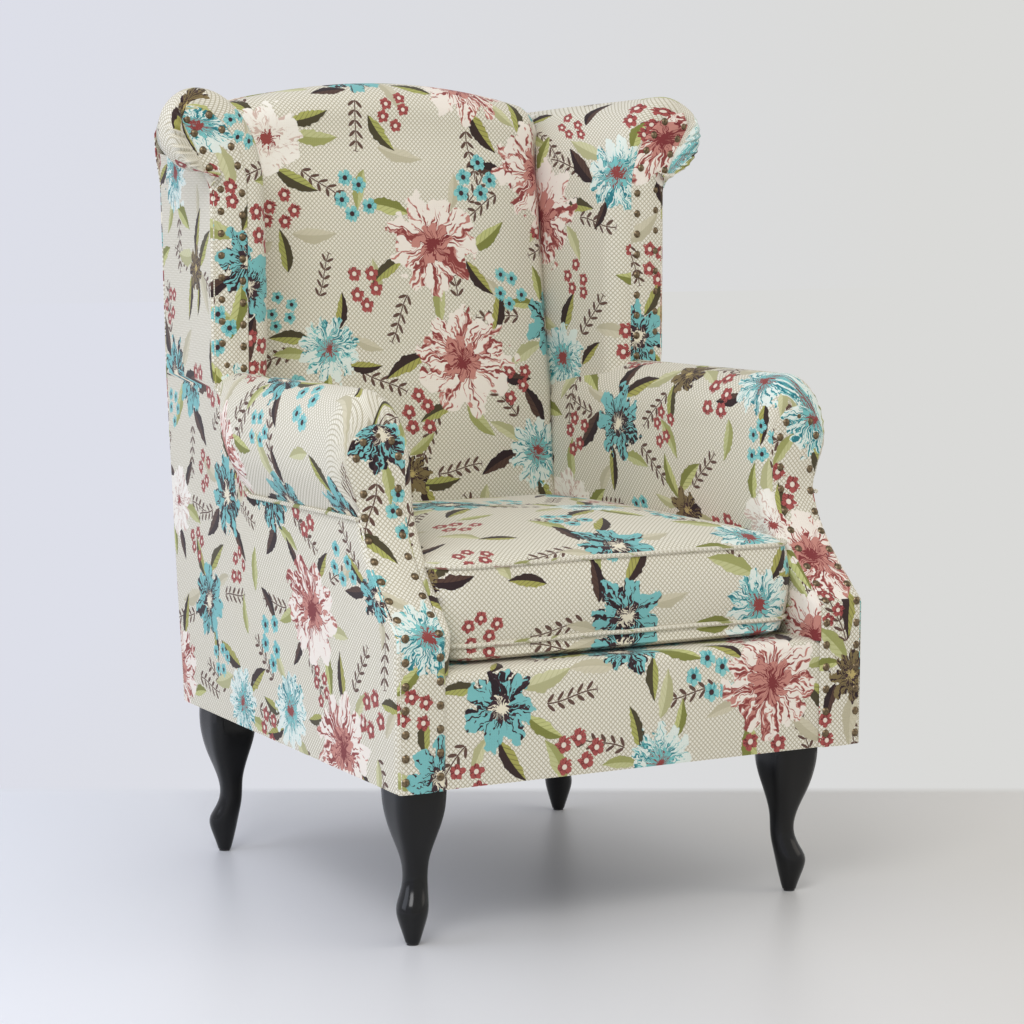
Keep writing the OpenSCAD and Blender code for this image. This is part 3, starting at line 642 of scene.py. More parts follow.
weltTurns = np.linspace(0, 1, 240, endpoint=False)
for name, z in (("cushionWeltTop", cushion["topSeam"]), ("cushionWeltBottom", cushion["bottomSeam"])):
    x, d = cushionPlan(weltTurns)
    grow = 1 + 0.0016 / np.hypot(x, d - cushionMid)
    rise = z + 0.0008 * np.sin(weltTurns * 40)
    line = toPoints(x * grow, cushionMid + (d - cushionMid) * grow, rise)
    welt = weltCord(name, line, 0.0031, closed=True)
    finishPiece(welt, ("cushion_welts",) if "Top" in name else (), "seat_cushion")
    printed[name] = welt
print("chair: cushion made")

for word, side in (("Right", 1), ("Left", -1)):
    d = np.concatenate([np.linspace(0.106, 0.40, 50), np.linspace(0.402, 0.503, 40)])
    z = armSeamZ(d) - 0.001
    line = toPoints(sideX(d, z) + 0.0022, d, z) * np.array([side, 1, 1])
    welt = weltCord("armWelt" + word, line, 0.0029)
    finishPiece(welt, ("arm_welt_" + word.lower(),))
    printed["armWelt" + word] = welt

# legs: turned from a square top into a knee, a narrow ankle and a pad foot
# height, then the inset of the outer and inner face from the leg's own corner, in millimetres
legShape = {
    "rows": [(207, 0, 67), (190, -1, 66), (172, 0, 66), (155, 3, 63), (138, 7.5, 58.5), (120, 14, 54),
             (104, 19, 51), (90, 21.5, 50.5), (76, 20.5, 50.5), (62, 15, 49.5), (52, 9, 48.5),
             (45, 6.5, 47.5), (36, 8, 46), (24, 12, 43), (12, 16.5, 40), (2, 19.5, 37)],
    "frontCorner": (0.311, 0.048), "rearCorner": (0.302, 0.692)}


def buildLeg(name, node, corner, side, toRear):
    table = np.array(legShape["rows"])[::-1]
    heights = np.linspace(table[-1][0], table[0][0], 44)
    outer = np.interp(heights, table[:, 0], table[:, 1])
    inner = np.interp(heights, table[:, 0], table[:, 2])
    # the sawn steps are rasped smooth
    for _ in range(3):
        outer[1:-1] = (outer[:-2] + 2 * outer[1:-1] + outer[2:]) / 4
        inner[1:-1] = (inner[:-2] + 2 * inner[1:-1] + inner[2:]) / 4
    # square at the top, rounder towards the ankle and round at the foot
    power = np.interp(heights, [2, 60, 110, 170, 207], [2.0, 2.2, 2.9, 5.0, 7.0])[:, None]
    turns = np.linspace(0, math.tau, 32, endpoint=False)[None, :]
    centre, half = ((outer + inner) / 2)[:, None], ((inner - outer) / 2)[:, None]
    reach = half / (np.abs(np.cos(turns)) ** power + np.abs(np.sin(turns)) ** power) ** (1 / power)
    x = side * (corner[0] - (centre + reach * np.cos(turns)) / 1000)
    d = corner[1] + (-1 if toRear else 1) * (centre + reach * np.sin(turns)) / 1000
    leg = tube(name, toPoints(x, d, heights[:, None] / 1000))
    bevel = leg.modifiers.new("edges", "BEVEL")
    bevel.limit_method = "ANGLE"
    bevel.angle_limit = math.radians(60)
    bevel.width = 0.0015
    bevel.segments = 3
    applyAll(leg)
    smoothShade(leg, 45)
    finishPiece(leg, (node,))
    return leg


legs = []
for word, side in (("Right", 1), ("Left", -1)):
    for end, toRear in (("Front", False), ("Rear", True)):
        node = "leg_" + end.lower() + "_" + word.lower()
        legs.append(buildLeg("leg" + end + word, node, legShape[end.lower() + "Corner"], side, toRear))
print("chair: legs made")

# stuffing inside the covers, as soft blocks made from the parts it fills
stuffing = {"voxel": 0.010, "smooth": 4, "shrink": 0.014, "cushionShrink": 0.022,
            "rearGap": 0.014, "sideGap": 0.010}
stuffed = [("back_pad", "backStuffing", "padding_foam")]
for kind in ("arm", "wing"):
    for word in ("Right", "Left"):
        stuffed.append((kind + "_pad_" + word.lower(), kind + "Stuffing" + word, "padding_foam"))
stuffed.append(("cushion_foam", "cushionFoam", "cushion_foam"))
pads = []
for node, name, slot in stuffed:
    deselectAll()
    pad = frame["nodes"][node].copy()
    pad.data = pad.data.copy()
    pad.name = pad.data.name = name
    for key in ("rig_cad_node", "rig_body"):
        if key in pad:
            del pad[key]
    pad.parent = None
    bpy.context.scene.collection.objects.link(pad)
    pad.hide_render = pad.hide_viewport = False
    pad.select_set(True)
    bpy.context.view_layer.objects.active = pad
    remesh = pad.modifiers.new("soften", "REMESH")
    remesh.mode = "VOXEL"
    remesh.voxel_size = stuffing["voxel"]
    soft = pad.modifiers.new("smooth", "SMOOTH")
    soft.iterations = stuffing["smooth"]
    shrink = pad.modifiers.new("inside", "DISPLACE")
    shrink.strength = -stuffing["cushionShrink" if node == "cushion_foam" else "shrink"]
    shrink.mid_level = 0
    applyAll(pad)
    for vertex in pad.data.vertices:
        # the cloth tucks in where the roll meets the wing, so the stuffing does too
        d = vertex.co.y - frontY
        limit = float(sideX(d, vertex.co.z)) - stuffing["sideGap"]
        if node[:3] == "arm" and d > 0.36 and abs(vertex.co.x) > limit:
            vertex.co.x = math.copysign(limit, vertex.co.x)
        vertex.co.y = min(vertex.co.y, frontY + float(rearD(vertex.co.z)) - stuffing["rearGap"])
    smoothShade(pad, 60)
    finishPiece(pad, (node,), "seat_cushion" if node == "cushion_foam" else "chair")
    pads.append(pad)
print("chair: stuffing made")

# materials


def srgb(code):
    parts = [int(code[i:i + 2], 16) / 255 for i in (1, 3, 5)]
    return tuple(c / 12.92 if c <= 0.04045 else ((c + 0.055) / 1.055) ** 2.4 for c in parts) + (1.0,)


def addNode(tree, kind, links=None, **settings):
    node = tree.nodes.new(kind)
    for key, value in settings.items():
        setattr(node, key, value)
    for socket, value in (links or {}).items():
        if isinstance(value, bpy.types.NodeSocket):
            tree.links.new(value, node.inputs[socket])
        else:
            node.inputs[socket].default_value = value
    return node


def calc(tree, operation, *values, **settings):
    node = addNode(tree, "ShaderNodeMath", dict(enumerate(values)), operation=operation, **settings)
    return node.outputs[0]


def vector(tree, operation, *values):
    node = addNode(tree, "ShaderNodeVectorMath", dict(enumerate(values)), operation=operation)
    return node.outputs["Value" if operation in ("LENGTH", "DOT_PRODUCT") else 0]


def remap(tree, value, fromLow, fromHigh, toLow=0.0, toHigh=1.0):
    span = {"Value": value, "From Min": fromLow, "From Max": fromHigh, "To Min": toLow, "To Max": toHigh}
    return addNode(tree, "ShaderNodeMapRange", span).outputs[0]


def mixInk(tree, share, under, over):
    return addNode(tree, "ShaderNodeMix", {0: share, 6: under, 7: over}, data_type="RGBA").outputs[2]


def newMaterial(name):
    material = bpy.data.materials.new(name)
    material.use_nodes = True
    tree = material.node_tree
    return material, tree, tree.nodes["Principled BSDF"]


def setMaterial(piece, material):
    piece.data.materials.clear()
    piece.data.materials.append(material)


# the print: what is drawn on the cotton, sizes in metres, each kind with its own inks
blooms = {
    "rose": {"size": 0.078, "petals": 9, "notch": 0.36, "middle": 0.76,
             "inks": ("#8a3f3c", "#c08377", "#ebe2d6", "#7c2f31")},
    "daisy": {"size": 0.056, "petals": 7, "notch": 0.52, "middle": 0.66,
              "inks": ("#24161c", "#38242a", "#76b6b5", "#e4dcc4")},
    "mum": {"size": 0.054, "petals": 12, "notch": 0.42, "middle": 0.74,
            "inks": ("#2a7780", "#74bbb9", "#dde5dc", "#8c3f3c")},
    "white": {"size": 0.056, "petals": 6, "notch": 0.30, "middle": 0.62,
              "inks": ("#cdb3a6", "#e9e2d6", "#ede8dd", "#93443f")},
    "dusk": {"size": 0.036, "petals": 7, "notch": 0.48, "middle": 0.60,
             "inks": ("#261519", "#3f2a2b", "#7a6a45", "#b9a66a")}}
budInks = {"red": ("#6f2b2c", "#a4504c", "#e2d6c6"), "teal": ("#4a9aa0", "#86c4c1", "#3a2428")}
leafInks = {"leaf": ("#47402a", "#a6a75c"), "spring": ("#7c7f3e", "#bdbf7e"),
            "brown": ("#2a1a1c", "#4f382e"), "split": ("#33231f", "#a3a055")}
paleInks = {"pale": ("#aeac80", "#c9c79d"), "shadow": ("#b9b297", "#cac3aa"), "fresh": ("#9a9c5f", "#bcbd88")}
sprigInks = ("#5d443a", "#8d8a4c")
sizes = {"bud": 0.034, "leaf": 0.036, "sprig": 0.040, "under": 0.034}
# tries at a free spot, and how far a bloom keeps from other blooms, in metres
spacing = {"bloomTries": 900, "fillTries": 700, "bloom": 0.165, "bloomToBud": 0.08, "edge": 0.012,
           "fill": 0.085, "leaf": 0.026}
fillRooms = (("bud", 0.115), ("sprig", 0.125), ("under", 0.085), ("leaf", 0.095))
printLayers = ("sprig", "under", "leaf", "bud", "bloom")


def scatter(motifs, centre, rng):
    # blooms over the cloth between the placed ones, leaves and stems round every bloom, then small motifs
    # between; a motif is where it lies on the cloth, its turn, its size and its kind
    low, high = centre.min(0), centre.max(0)

    def free(layer, spot, room):
        return all(math.hypot(spot[0] - m[0], spot[1] - m[1]) > room for m in motifs[layer])

    kinds = ["rose", "daisy", "mum", "white", "dusk", "daisy", "mum"]
    for _ in range(spacing["bloomTries"]):
        spot = rng.uniform(low, high)
        kind = kinds[rng.randint(len(kinds))]
        onCloth = np.min(np.linalg.norm(centre - spot, axis=1)) < spacing["edge"]
        if onCloth and free("bloom", spot, spacing["bloom"]) and free("bud", spot, spacing["bloomToBud"]):
            turn = rng.uniform(0, math.tau)
            motifs["bloom"].append((*spot, turn, blooms[kind]["size"] * rng.uniform(0.85, 1.1), kind))
    leafKinds, paleKinds = list(leafInks), list(paleInks)
    for x, y, turn, size, kind in list(motifs["bloom"]):
        for i in range(6):
            angle = turn + math.tau * i / 6 + rng.uniform(-0.4, 0.4)
            length = rng.uniform(0.024, 0.040)
            reach = size * 0.84 + length * 0.66
            layer = "under" if i % 3 == 1 else "leaf"
            spot = (x + reach * math.cos(angle), y + reach * math.sin(angle))
            if free(layer, spot, spacing["leaf"]):
                chosen = paleKinds[rng.randint(3)] if layer == "under" else leafKinds[rng.randint(4)]
                motifs[layer].append((*spot, angle + rng.uniform(-0.6, 0.6), length, chosen))
        for i in range(2):
            angle = turn + 0.6 + math.pi * i + rng.uniform(-0.6, 0.6)
            reach = size + 0.045
            spot = (x + reach * math.cos(angle), y + reach * math.sin(angle))
            motifs["sprig"].append((*spot, angle, sizes["sprig"], "sprig"))
    for _ in range(spacing["fillTries"]):
        spot = rng.uniform(low, high)
        if free("bloom", spot, spacing["fill"]):
            for layer, room in fillRooms:
                if free(layer, spot, room):
                    chosen = {"bud": "red" if rng.rand() < 0.6 else "teal", "sprig": "sprig",
                              "under": paleKinds[rng.randint(3)], "leaf": leafKinds[rng.randint(4)]}[layer]
                    turn = rng.uniform(0, math.tau)
                    motifs[layer].append((*spot, turn, sizes[layer] * rng.uniform(0.75, 1.05), chosen))
                    break


def drawPrint(piece, placed, seed):
    # gives every face its nearest motif in each layer: where it is in the motif, and the motif's inks
    mesh = piece.data
    rng = np.random.RandomState(seed)
    cloth = np.zeros(len(mesh.loops) * 2)
    mesh.uv_layers["cloth"].data.foreach_get("uv", cloth)
    cloth = cloth.reshape(-1, 2)
    starts = np.zeros(len(mesh.polygons), int)
    totals = np.zeros(len(mesh.polygons), int)
    mesh.polygons.foreach_get("loop_start", starts)
    mesh.polygons.foreach_get("loop_total", totals)
    owner = np.repeat(np.arange(len(starts)), totals)
    centre = np.stack([np.bincount(owner, cloth[:, k]) / totals for k in (0, 1)], axis=1)
    spots = np.zeros(len(mesh.vertices) * 3)
    mesh.vertices.foreach_get("co", spots)
    spots = spots.reshape(-1, 3)
    loopVertex = np.zeros(len(mesh.loops), int)
    mesh.loops.foreach_get("vertex_index", loopVertex)
    motifs = {layer: [] for layer in printLayers}
    for kind, x, d, z in placed:
        nearest = np.argmin(np.linalg.norm(spots[loopVertex] - toPoints(x, d, z), axis=1))
        motifs["bloom"].append((*cloth[nearest], rng.uniform(0, math.tau), blooms[kind]["size"], kind))
    scatter(motifs, centre, rng)
    spare = {"bud": "red", "bloom": "dusk", "leaf": "leaf", "under": "pale", "sprig": "sprig"}
    narrow = {"sprig": 0.30, "under": 0.34, "leaf": 0.34, "bud": 1.0, "bloom": 1.0}
    for layer in printLayers:
        # a layer without a motif still needs one row, which lies far off the cloth
        rows = motifs[layer] or [(9, 9, 0, 0.04, spare[layer])]
        at = np.array([m[:2] for m in rows])
        turns = np.array([m[2] for m in rows])
        size = np.array([m[3] for m in rows])
        c, s = np.cos(turns), np.sin(turns)

        def local(points, chosen):
            d = points - at[chosen]
            return np.stack([(d[:, 0] * c[chosen] + d[:, 1] * s[chosen]) / size[chosen],
                             (-d[:, 0] * s[chosen] + d[:, 1] * c[chosen]) / size[chosen]], axis=1)

        best = np.zeros(len(centre), int)
        score = np.full(len(centre), 1e9)
        for i in range(len(rows)):
            p = local(centre, np.full(len(centre), i))
            value = np.hypot(p[:, 0], p[:, 1] / narrow[layer])
            take = value < score
            best[take], score[take] = i, value[take]
        uv = local(cloth, best[owner])
        mesh.uv_layers.new(name=layer + "At", do_init=False)
        mesh.uv_layers[layer + "At"].data.foreach_set("uv", uv.ravel())
        seeds = rng.uniform(0, 40, len(rows))
        if layer == "bloom":
            inkNames = ["bloomShade", "bloomPetal", "bloomLight", "bloomHeart", "bloomShape"]
            inks = []
            for i, m in enumerate(rows):
                bloom = blooms[m[4]]
                shape = (bloom["petals"], bloom["notch"], bloom["middle"], seeds[i])
                inks.append([srgb(code) for code in bloom["inks"]] + [shape])
        else:
            roles = ("Shade", "Petal", "Heart") if layer == "bud" else ("Dark", "Light")
            inkNames = [layer + role for role in roles]
            table = {**budInks, **leafInks, **paleInks, "sprig": sprigInks}
            inks = [[srgb(code)[:3] + (seeds[i],) for code in table[m[4]]] for i, m in enumerate(rows)]
        inks = np.array(inks)
        for k, inkName in enumerate(inkNames):
            layerInk = mesh.attributes.new(inkName, "FLOAT_COLOR", "FACE")
            layerInk.data.foreach_set("color", inks[best, k].astype(np.float32).ravel())
    mesh.uv_layers["cloth"].active_render = True


def newGroup(name, inputs, outputs):
    group = bpy.data.node_groups.new(name, "ShaderNodeTree")
    for label, kind in inputs:
        group.interface.new_socket(label, in_out="INPUT", socket_type="NodeSocket" + kind)
    for label, kind in outputs:
        group.interface.new_socket(label, in_out="OUTPUT", socket_type="NodeSocket" + kind)
    return group, addNode(group, "NodeGroupInput").outputs, addNode(group, "NodeGroupOutput")


def petalRing():
    # one ring of petals round a centre, dark at the foot of each petal and pale at its tip
    tree, given, out = newGroup("petalRing", [
        ("Point", "Vector"), ("Petals", "Float"), ("Turn", "Float"), ("Radius", "Float"), ("Notch", "Float"),
        ("Seed", "Float"), ("Shade", "Color"), ("Petal", "Color"), ("Light", "Color"), ("Under", "Color")],
        [("Colour", "Color")])
    shift = {0: given["Seed"], 1: given["Turn"], 2: given["Seed"]}
    shift = addNode(tree, "ShaderNodeCombineXYZ", shift).outputs[0]
    moved = vector(tree, "ADD", given["Point"], shift)
    ruffle = addNode(tree, "ShaderNodeTexNoise", {"Vector": moved, "Scale": 3.4, "Detail": 2.0})
    wobble = ruffle.outputs[0]
    bent = vector(tree, "SUBTRACT", ruffle.outputs[1], (0.5, 0.5, 0.5))
    bent = vector(tree, "MULTIPLY", bent, (0.42, 0.42, 0.0))
    bent = vector(tree, "ADD", given["Point"], bent)
    parts = addNode(tree, "ShaderNodeSeparateXYZ", {0: bent}).outputs
    angle = calc(tree, "ARCTAN2", parts[1], parts[0])
    reach = vector(tree, "LENGTH", bent)
    half = calc(tree, "MULTIPLY", given["Petals"], 0.5)
    start = calc(tree, "MULTIPLY_ADD", wobble, 2.2, given["Turn"])
    swing = calc(tree, "MULTIPLY_ADD", angle, half, start)
    wave = calc(tree, "COSINE", swing)
    wave = calc(tree, "ABSOLUTE", wave)
    lobe = calc(tree, "POWER", wave, 0.6)
    dip = calc(tree, "SUBTRACT", 1.0, lobe)
    dip = calc(tree, "MULTIPLY", dip, given["Notch"])
    dip = calc(tree, "SUBTRACT", 1.0, dip)
    edge = calc(tree, "MULTIPLY", dip, given["Radius"])
    uneven = remap(tree, wobble, 0.3, 0.7, 0.82, 1.08)
    edge = calc(tree, "MULTIPLY", edge, uneven)
    share = calc(tree, "DIVIDE", reach, edge)
    mask = remap(tree, share, 0.97, 1.0, 1.0, 0.0)
    ray = calc(tree, "MULTIPLY", angle, given["Petals"])
    streak = addNode(tree, "ShaderNodeCombineXYZ", {0: ray, 1: share, 2: given["Seed"]}).outputs[0]
    streak = addNode(tree, "ShaderNodeTexNoise", {"Vector": streak, "Scale": 1.4, "Detail": 1.0}).outputs[0]
    streak = remap(tree, streak, 0.3, 0.7, 0.05, 0.95)
    tone = calc(tree, "MULTIPLY_ADD", share, 0.28, streak)
    tone = calc(tree, "MULTIPLY_ADD", lobe, 0.50, tone)
    # one side of the flower lies in shadow
    tone = calc(tree, "MULTIPLY_ADD", parts[1], 0.16, tone)
    first = remap(tree, tone, 0.90, 0.95)
    second = remap(tree, tone, 1.06, 1.10)
    colour = mixInk(tree, first, given["Shade"], given["Petal"])
    colour = mixInk(tree, second, colour, given["Light"])
    colour = mixInk(tree, mask, given["Under"], colour)
    tree.links.new(colour, out.inputs["Colour"])
    return tree


def leafShape():
    # a pointed leaf along X from -1 to 1, one half darker than the other, with a midrib and side veins
    tree, given, out = newGroup("leafShape", [
        ("Point", "Vector"), ("Seed", "Float"), ("Dark", "Color"), ("Light", "Color"), ("Under", "Color")],
        [("Colour", "Color")])
    parts = addNode(tree, "ShaderNodeSeparateXYZ", {0: given["Point"]}).outputs
    bend = calc(tree, "MULTIPLY", parts[0], parts[0])
    across = calc(tree, "MULTIPLY_ADD", bend, -0.10, parts[1])
    width = calc(tree, "SUBTRACT", 1.0, bend, use_clamp=True)
    skew = calc(tree, "MULTIPLY_ADD", parts[0], -0.28, 1.0)
    width = calc(tree, "MULTIPLY", width, skew)
    noise = {"Vector": given["Point"], "W": given["Seed"], "Scale": 4.0, "Detail": 1.0}
    noise = addNode(tree, "ShaderNodeTexNoise", noise, noise_dimensions="4D").outputs[0]
    ragged = remap(tree, noise, 0.3, 0.7, 0.26, 0.36)
    width = calc(tree, "MULTIPLY", width, ragged)
    off = calc(tree, "ABSOLUTE", across)
    inside = calc(tree, "SUBTRACT", width, off)
    mask = remap(tree, inside, 0.001, 0.012)
    side = remap(tree, across, -0.01, 0.02)
    slant = calc(tree, "MULTIPLY_ADD", off, -1.3, parts[0])
    vein = calc(tree, "MULTIPLY", slant, 24.0)
    vein = calc(tree, "SINE", vein)
    vein = remap(tree, vein, 0.55, 0.95, 0.0, 0.45)
    rib = remap(tree, off, 0.012, 0.028, 1.0, 0.0)
    shade = calc(tree, "SUBTRACT", side, vein, use_clamp=True)
    shade = calc(tree, "SUBTRACT", shade, rib, use_clamp=True)
    colour = mixInk(tree, shade, given["Dark"], given["Light"])
    colour = mixInk(tree, mask, given["Under"], colour)
    tree.links.new(colour, out.inputs["Colour"])
    return tree


ring = petalRing()
leafGroup = leafShape()


def ink(tree, name):
    return addNode(tree, "ShaderNodeAttribute", attribute_name=name).outputs


def addGround(tree):
    # greige cotton under a fine diamond lattice, 6.6 mm across from point to point
    cloth = addNode(tree, "ShaderNodeUVMap", uv_map="cloth").outputs[0]
    turned = addNode(tree, "ShaderNodeMapping", {
        "Vector": cloth, "Rotation": (0, 0, math.radians(45)), "Scale": (214, 214, 1)}).outputs[0]
    cell = vector(tree, "FRACTION", turned)
    cell = vector(tree, "SUBTRACT", cell, (0.5, 0.5, 0))
    cell = vector(tree, "ABSOLUTE", cell)
    parts = addNode(tree, "ShaderNodeSeparateXYZ", {0: cell}).outputs
    far = calc(tree, "MAXIMUM", parts[0], parts[1])
    line = remap(tree, far, 0.28, 0.44)
    return mixInk(tree, line, srgb("#e5e1d3"), srgb("#b5ad95")), cloth


def addWeave(tree, cloth, shader):
    # plain weave, 0.8 mm threads drawn twice as coarse so that they show
    thread = {"Vector": cloth, "Scale": 96.0, "Distortion": 0.6}
    warp = addNode(tree, "ShaderNodeTexWave", thread, bands_direction="X").outputs[1]
    weft = addNode(tree, "ShaderNodeTexWave", thread, bands_direction="Y").outputs[1]
    relief = {"Height": calc(tree, "MULTIPLY", warp, weft), "Strength": 0.22, "Distance": 0.0006}
    bump = addNode(tree, "ShaderNodeBump", relief).outputs[0]
    tree.links.new(bump, shader.inputs["Normal"])


def printedCotton():
    # printed cotton: matt, with the faint bloom of short fibres on it
    material, tree, shader = newMaterial("printedCotton")
    colour, cloth = addGround(tree)
    # thin stems with small leaves in pairs
    at = addNode(tree, "ShaderNodeUVMap", uv_map="sprigAt").outputs[0]
    parts = addNode(tree, "ShaderNodeSeparateXYZ", {0: at}).outputs
    curve = calc(tree, "MULTIPLY", parts[0], 2.1)
    curve = calc(tree, "SINE", curve)
    off = calc(tree, "MULTIPLY_ADD", curve, -0.10, parts[1])
    away = calc(tree, "ABSOLUTE", off)
    reach = calc(tree, "ABSOLUTE", parts[0])
    within = calc(tree, "LESS_THAN", reach, 0.92)
    stem = calc(tree, "LESS_THAN", away, 0.022)
    slant = calc(tree, "MULTIPLY_ADD", away, -0.8, parts[0])
    cells = calc(tree, "MULTIPLY", slant, 2.8)
    cell = calc(tree, "FRACT", cells)
    cell = calc(tree, "SUBTRACT", cell, 0.5)
    cell = calc(tree, "MULTIPLY", cell, 4.6)
    out = calc(tree, "SUBTRACT", away, 0.15)
    out = calc(tree, "MULTIPLY", out, 8.0)
    leaflet = addNode(tree, "ShaderNodeCombineXYZ", {0: cell, 1: out}).outputs[0]
    leaflet = vector(tree, "LENGTH", leaflet)
    leaflet = calc(tree, "LESS_THAN", leaflet, 1.0)
    mark = calc(tree, "MAXIMUM", stem, leaflet)
    mark = calc(tree, "MULTIPLY", mark, within)
    colour = mixInk(tree, mark, colour, ink(tree, "sprigDark")[0])
    for layer in ("under", "leaf"):
        at = addNode(tree, "ShaderNodeUVMap", uv_map=layer + "At").outputs[0]
        dark = ink(tree, layer + "Dark")
        colour = addNode(tree, "ShaderNodeGroup", {
            "Point": at, "Seed": dark["Alpha"], "Dark": dark[0], "Light": ink(tree, layer + "Light")[0],
            "Under": colour}, node_tree=leafGroup).outputs[0]
    # clusters of small blossoms: each cell of a loose grid holds one
    at = addNode(tree, "ShaderNodeUVMap", uv_map="budAt").outputs[0]
    shade = ink(tree, "budShade")
    cells = {"Vector": at, "Scale": 1.25, "Randomness": 0.6}
    middle = addNode(tree, "ShaderNodeTexVoronoi", cells, voronoi_dimensions="2D").outputs["Position"]
    point = vector(tree, "SUBTRACT", at, middle)
    point = addNode(tree, "ShaderNodeVectorMath", {0: point, 3: 2.5}, operation="SCALE").outputs[0]
    spread = vector(tree, "LENGTH", middle)
    shown = calc(tree, "LESS_THAN", spread, 0.90)
    petal = ink(tree, "budPetal")[0]
    blossom = addNode(tree, "ShaderNodeGroup", {
        "Point": point, "Petals": 5.0, "Turn": 0.4, "Radius": 0.94, "Notch": 0.34, "Seed": shade["Alpha"],
        "Shade": shade[0], "Petal": petal, "Light": petal, "Under": colour}, node_tree=ring)
    heart = vector(tree, "LENGTH", point)
    heart = remap(tree, heart, 0.24, 0.30, 1.0, 0.0)
    bud = mixInk(tree, heart, blossom.outputs["Colour"], ink(tree, "budHeart")[0])
    colour = mixInk(tree, shown, colour, bud)
    # blooms: four rings of petals and a heart, one over the other
    at = addNode(tree, "ShaderNodeUVMap", uv_map="bloomAt").outputs[0]
    shape = ink(tree, "bloomShape")
    numbers = addNode(tree, "ShaderNodeSeparateColor", {0: shape[0]}).outputs
    large = calc(tree, "MULTIPLY", numbers[2], 1.18)
    small = calc(tree, "MULTIPLY", numbers[2], 0.56)
    inks = {key: ink(tree, "bloom" + key)[0] for key in ("Shade", "Petal", "Light", "Heart")}
    for turn, radius, petals, notch, dark, petal, pale in (
            (0.0, 1.0, numbers[0], numbers[1], inks["Shade"], inks["Petal"], inks["Light"]),
            (2.9, large, numbers[0], numbers[1], inks["Shade"], inks["Petal"], inks["Light"]),
            (1.3, numbers[2], numbers[0], numbers[1], inks["Shade"], inks["Petal"], inks["Light"]),
            (2.2, small, numbers[0], numbers[1], inks["Heart"], inks["Petal"], inks["Petal"]),
            (0.7, 0.17, 12.0, 0.5, inks["Heart"], inks["Heart"], inks["Heart"])):
        colour = addNode(tree, "ShaderNodeGroup", {
            "Point": at, "Petals": petals, "Turn": turn, "Radius": radius, "Notch": notch,
            "Seed": shape["Alpha"], "Shade": dark, "Petal": petal, "Light": pale, "Under": colour}, node_tree=ring).outputs["Colour"]
    tree.links.new(colour, shader.inputs["Base Color"])
    shader.inputs["Roughness"].default_value = 0.82
    shader.inputs["Sheen Weight"].default_value = 0.12
    shader.inputs["Sheen Roughness"].default_value = 0.5
    shader.inputs["Specular IOR Level"].default_value = 0.3
    addWeave(tree, cloth, shader)
    return material


printedCloth = printedCotton()
# the few large flowers that catch the eye, set to 5 cm; the rest of the print is scattered round them
# kind, then metres to the right, behind the front and above the floor
placements = {
    "insideBack": [("rose", 0.05, 0.65, 0.85), ("white", -0.20, 0.65, 1.00), ("mum", 0.20, 0.60, 0.55)],
    "frontBorder": [("daisy", -0.20, 0.0, 0.30), ("rose", 0.20, 0.0, 0.30)],
    "cushionCover": [("daisy", 0.0, 0.05, 0.40), ("mum", 0.20, 0.05, 0.40)],
    "armRight": [("daisy", 0.25, 0.45, 0.60)],
    "armFrontRight": [("rose", 0.30, 0.05, 0.45)],
    "armFrontLeft": [("mum", -0.30, 0.0, 0.40)],
    "outsideLeft": [("rose", -0.35, 0.25, 0.40)]}
for name, piece in printed.items():
    if "Welt" in name:
        continue
    drawPrint(piece, placements.get(name, []), 7 + sum(ord(letter) for letter in name))
    setMaterial(piece, printedCloth)
print("chair: print drawn")


def weltCotton():
    # strips of the same cotton cut on the bias, so only patches of the print show
    material, tree, shader = newMaterial("weltCotton")
    colour, cloth = addGround(tree)
    spot = addNode(tree, "ShaderNodeTexNoise", {"Vector": cloth, "Scale": 26.0, "Detail": 1.0})
    olive = remap(tree, spot.outputs[0], 0.60, 0.64)
    brown = remap(tree, spot.outputs[0], 0.30, 0.33, 1.0, 0.0)
    colour = mixInk(tree, olive, colour, srgb("#8f9058"))
    colour = mixInk(tree, brown, colour, srgb("#8a5a50"))
    tree.links.new(colour, shader.inputs["Base Color"])
    shader.inputs["Roughness"].default_value = 0.82
    addWeave(tree, cloth, shader)
    return material


weltMaterial = weltCotton()
for name, piece in printed.items():
    if "Welt" in name:
        setMaterial(piece, weltMaterial)


def plainMaterial(name, dark, light, grain, rough, metal=0.0, stretch=(1, 1, 1), relief=0.15):
    # two close tones mixed by a noise whose grain is in millimetres, which also sets the gloss and the relief
    material, tree, shader = newMaterial(name)
    place = addNode(tree, "ShaderNodeTexCoord").outputs["Object"]
    place = addNode(tree, "ShaderNodeMapping", {"Vector": place, "Scale": stretch}).outputs[0]
    grainy = {"Vector": place, "Scale": 1000.0 / grain, "Detail": 4.0}
    noise = addNode(tree, "ShaderNodeTexNoise", grainy).outputs[0]
    tone = remap(tree, noise, 0.3, 0.7)
    colour = mixInk(tree, tone, srgb(dark), srgb(light))
    gloss = remap(tree, noise, 0, 1, rough[0], rough[1])
    raised = {"Height": noise, "Strength": relief, "Distance": 0.0004}
    bump = addNode(tree, "ShaderNodeBump", raised).outputs[0]
    tree.links.new(colour, shader.inputs["Base Color"])
    tree.links.new(gloss, shader.inputs["Roughness"])
    tree.links.new(bump, shader.inputs["Normal"])
    shader.inputs["Metallic"].default_value = metal
    return material


# black gloss lacquer over wood, with a faint orange-peel
lacquer = plainMaterial("blackLacquer", "#050506", "#0b0b0c", 6, (0.12, 0.22), relief=0.04)
lacquer.node_tree.nodes["Principled BSDF"].inputs["Specular IOR Level"].default_value = 0.36
for piece in legs:
    setMaterial(piece, lacquer)
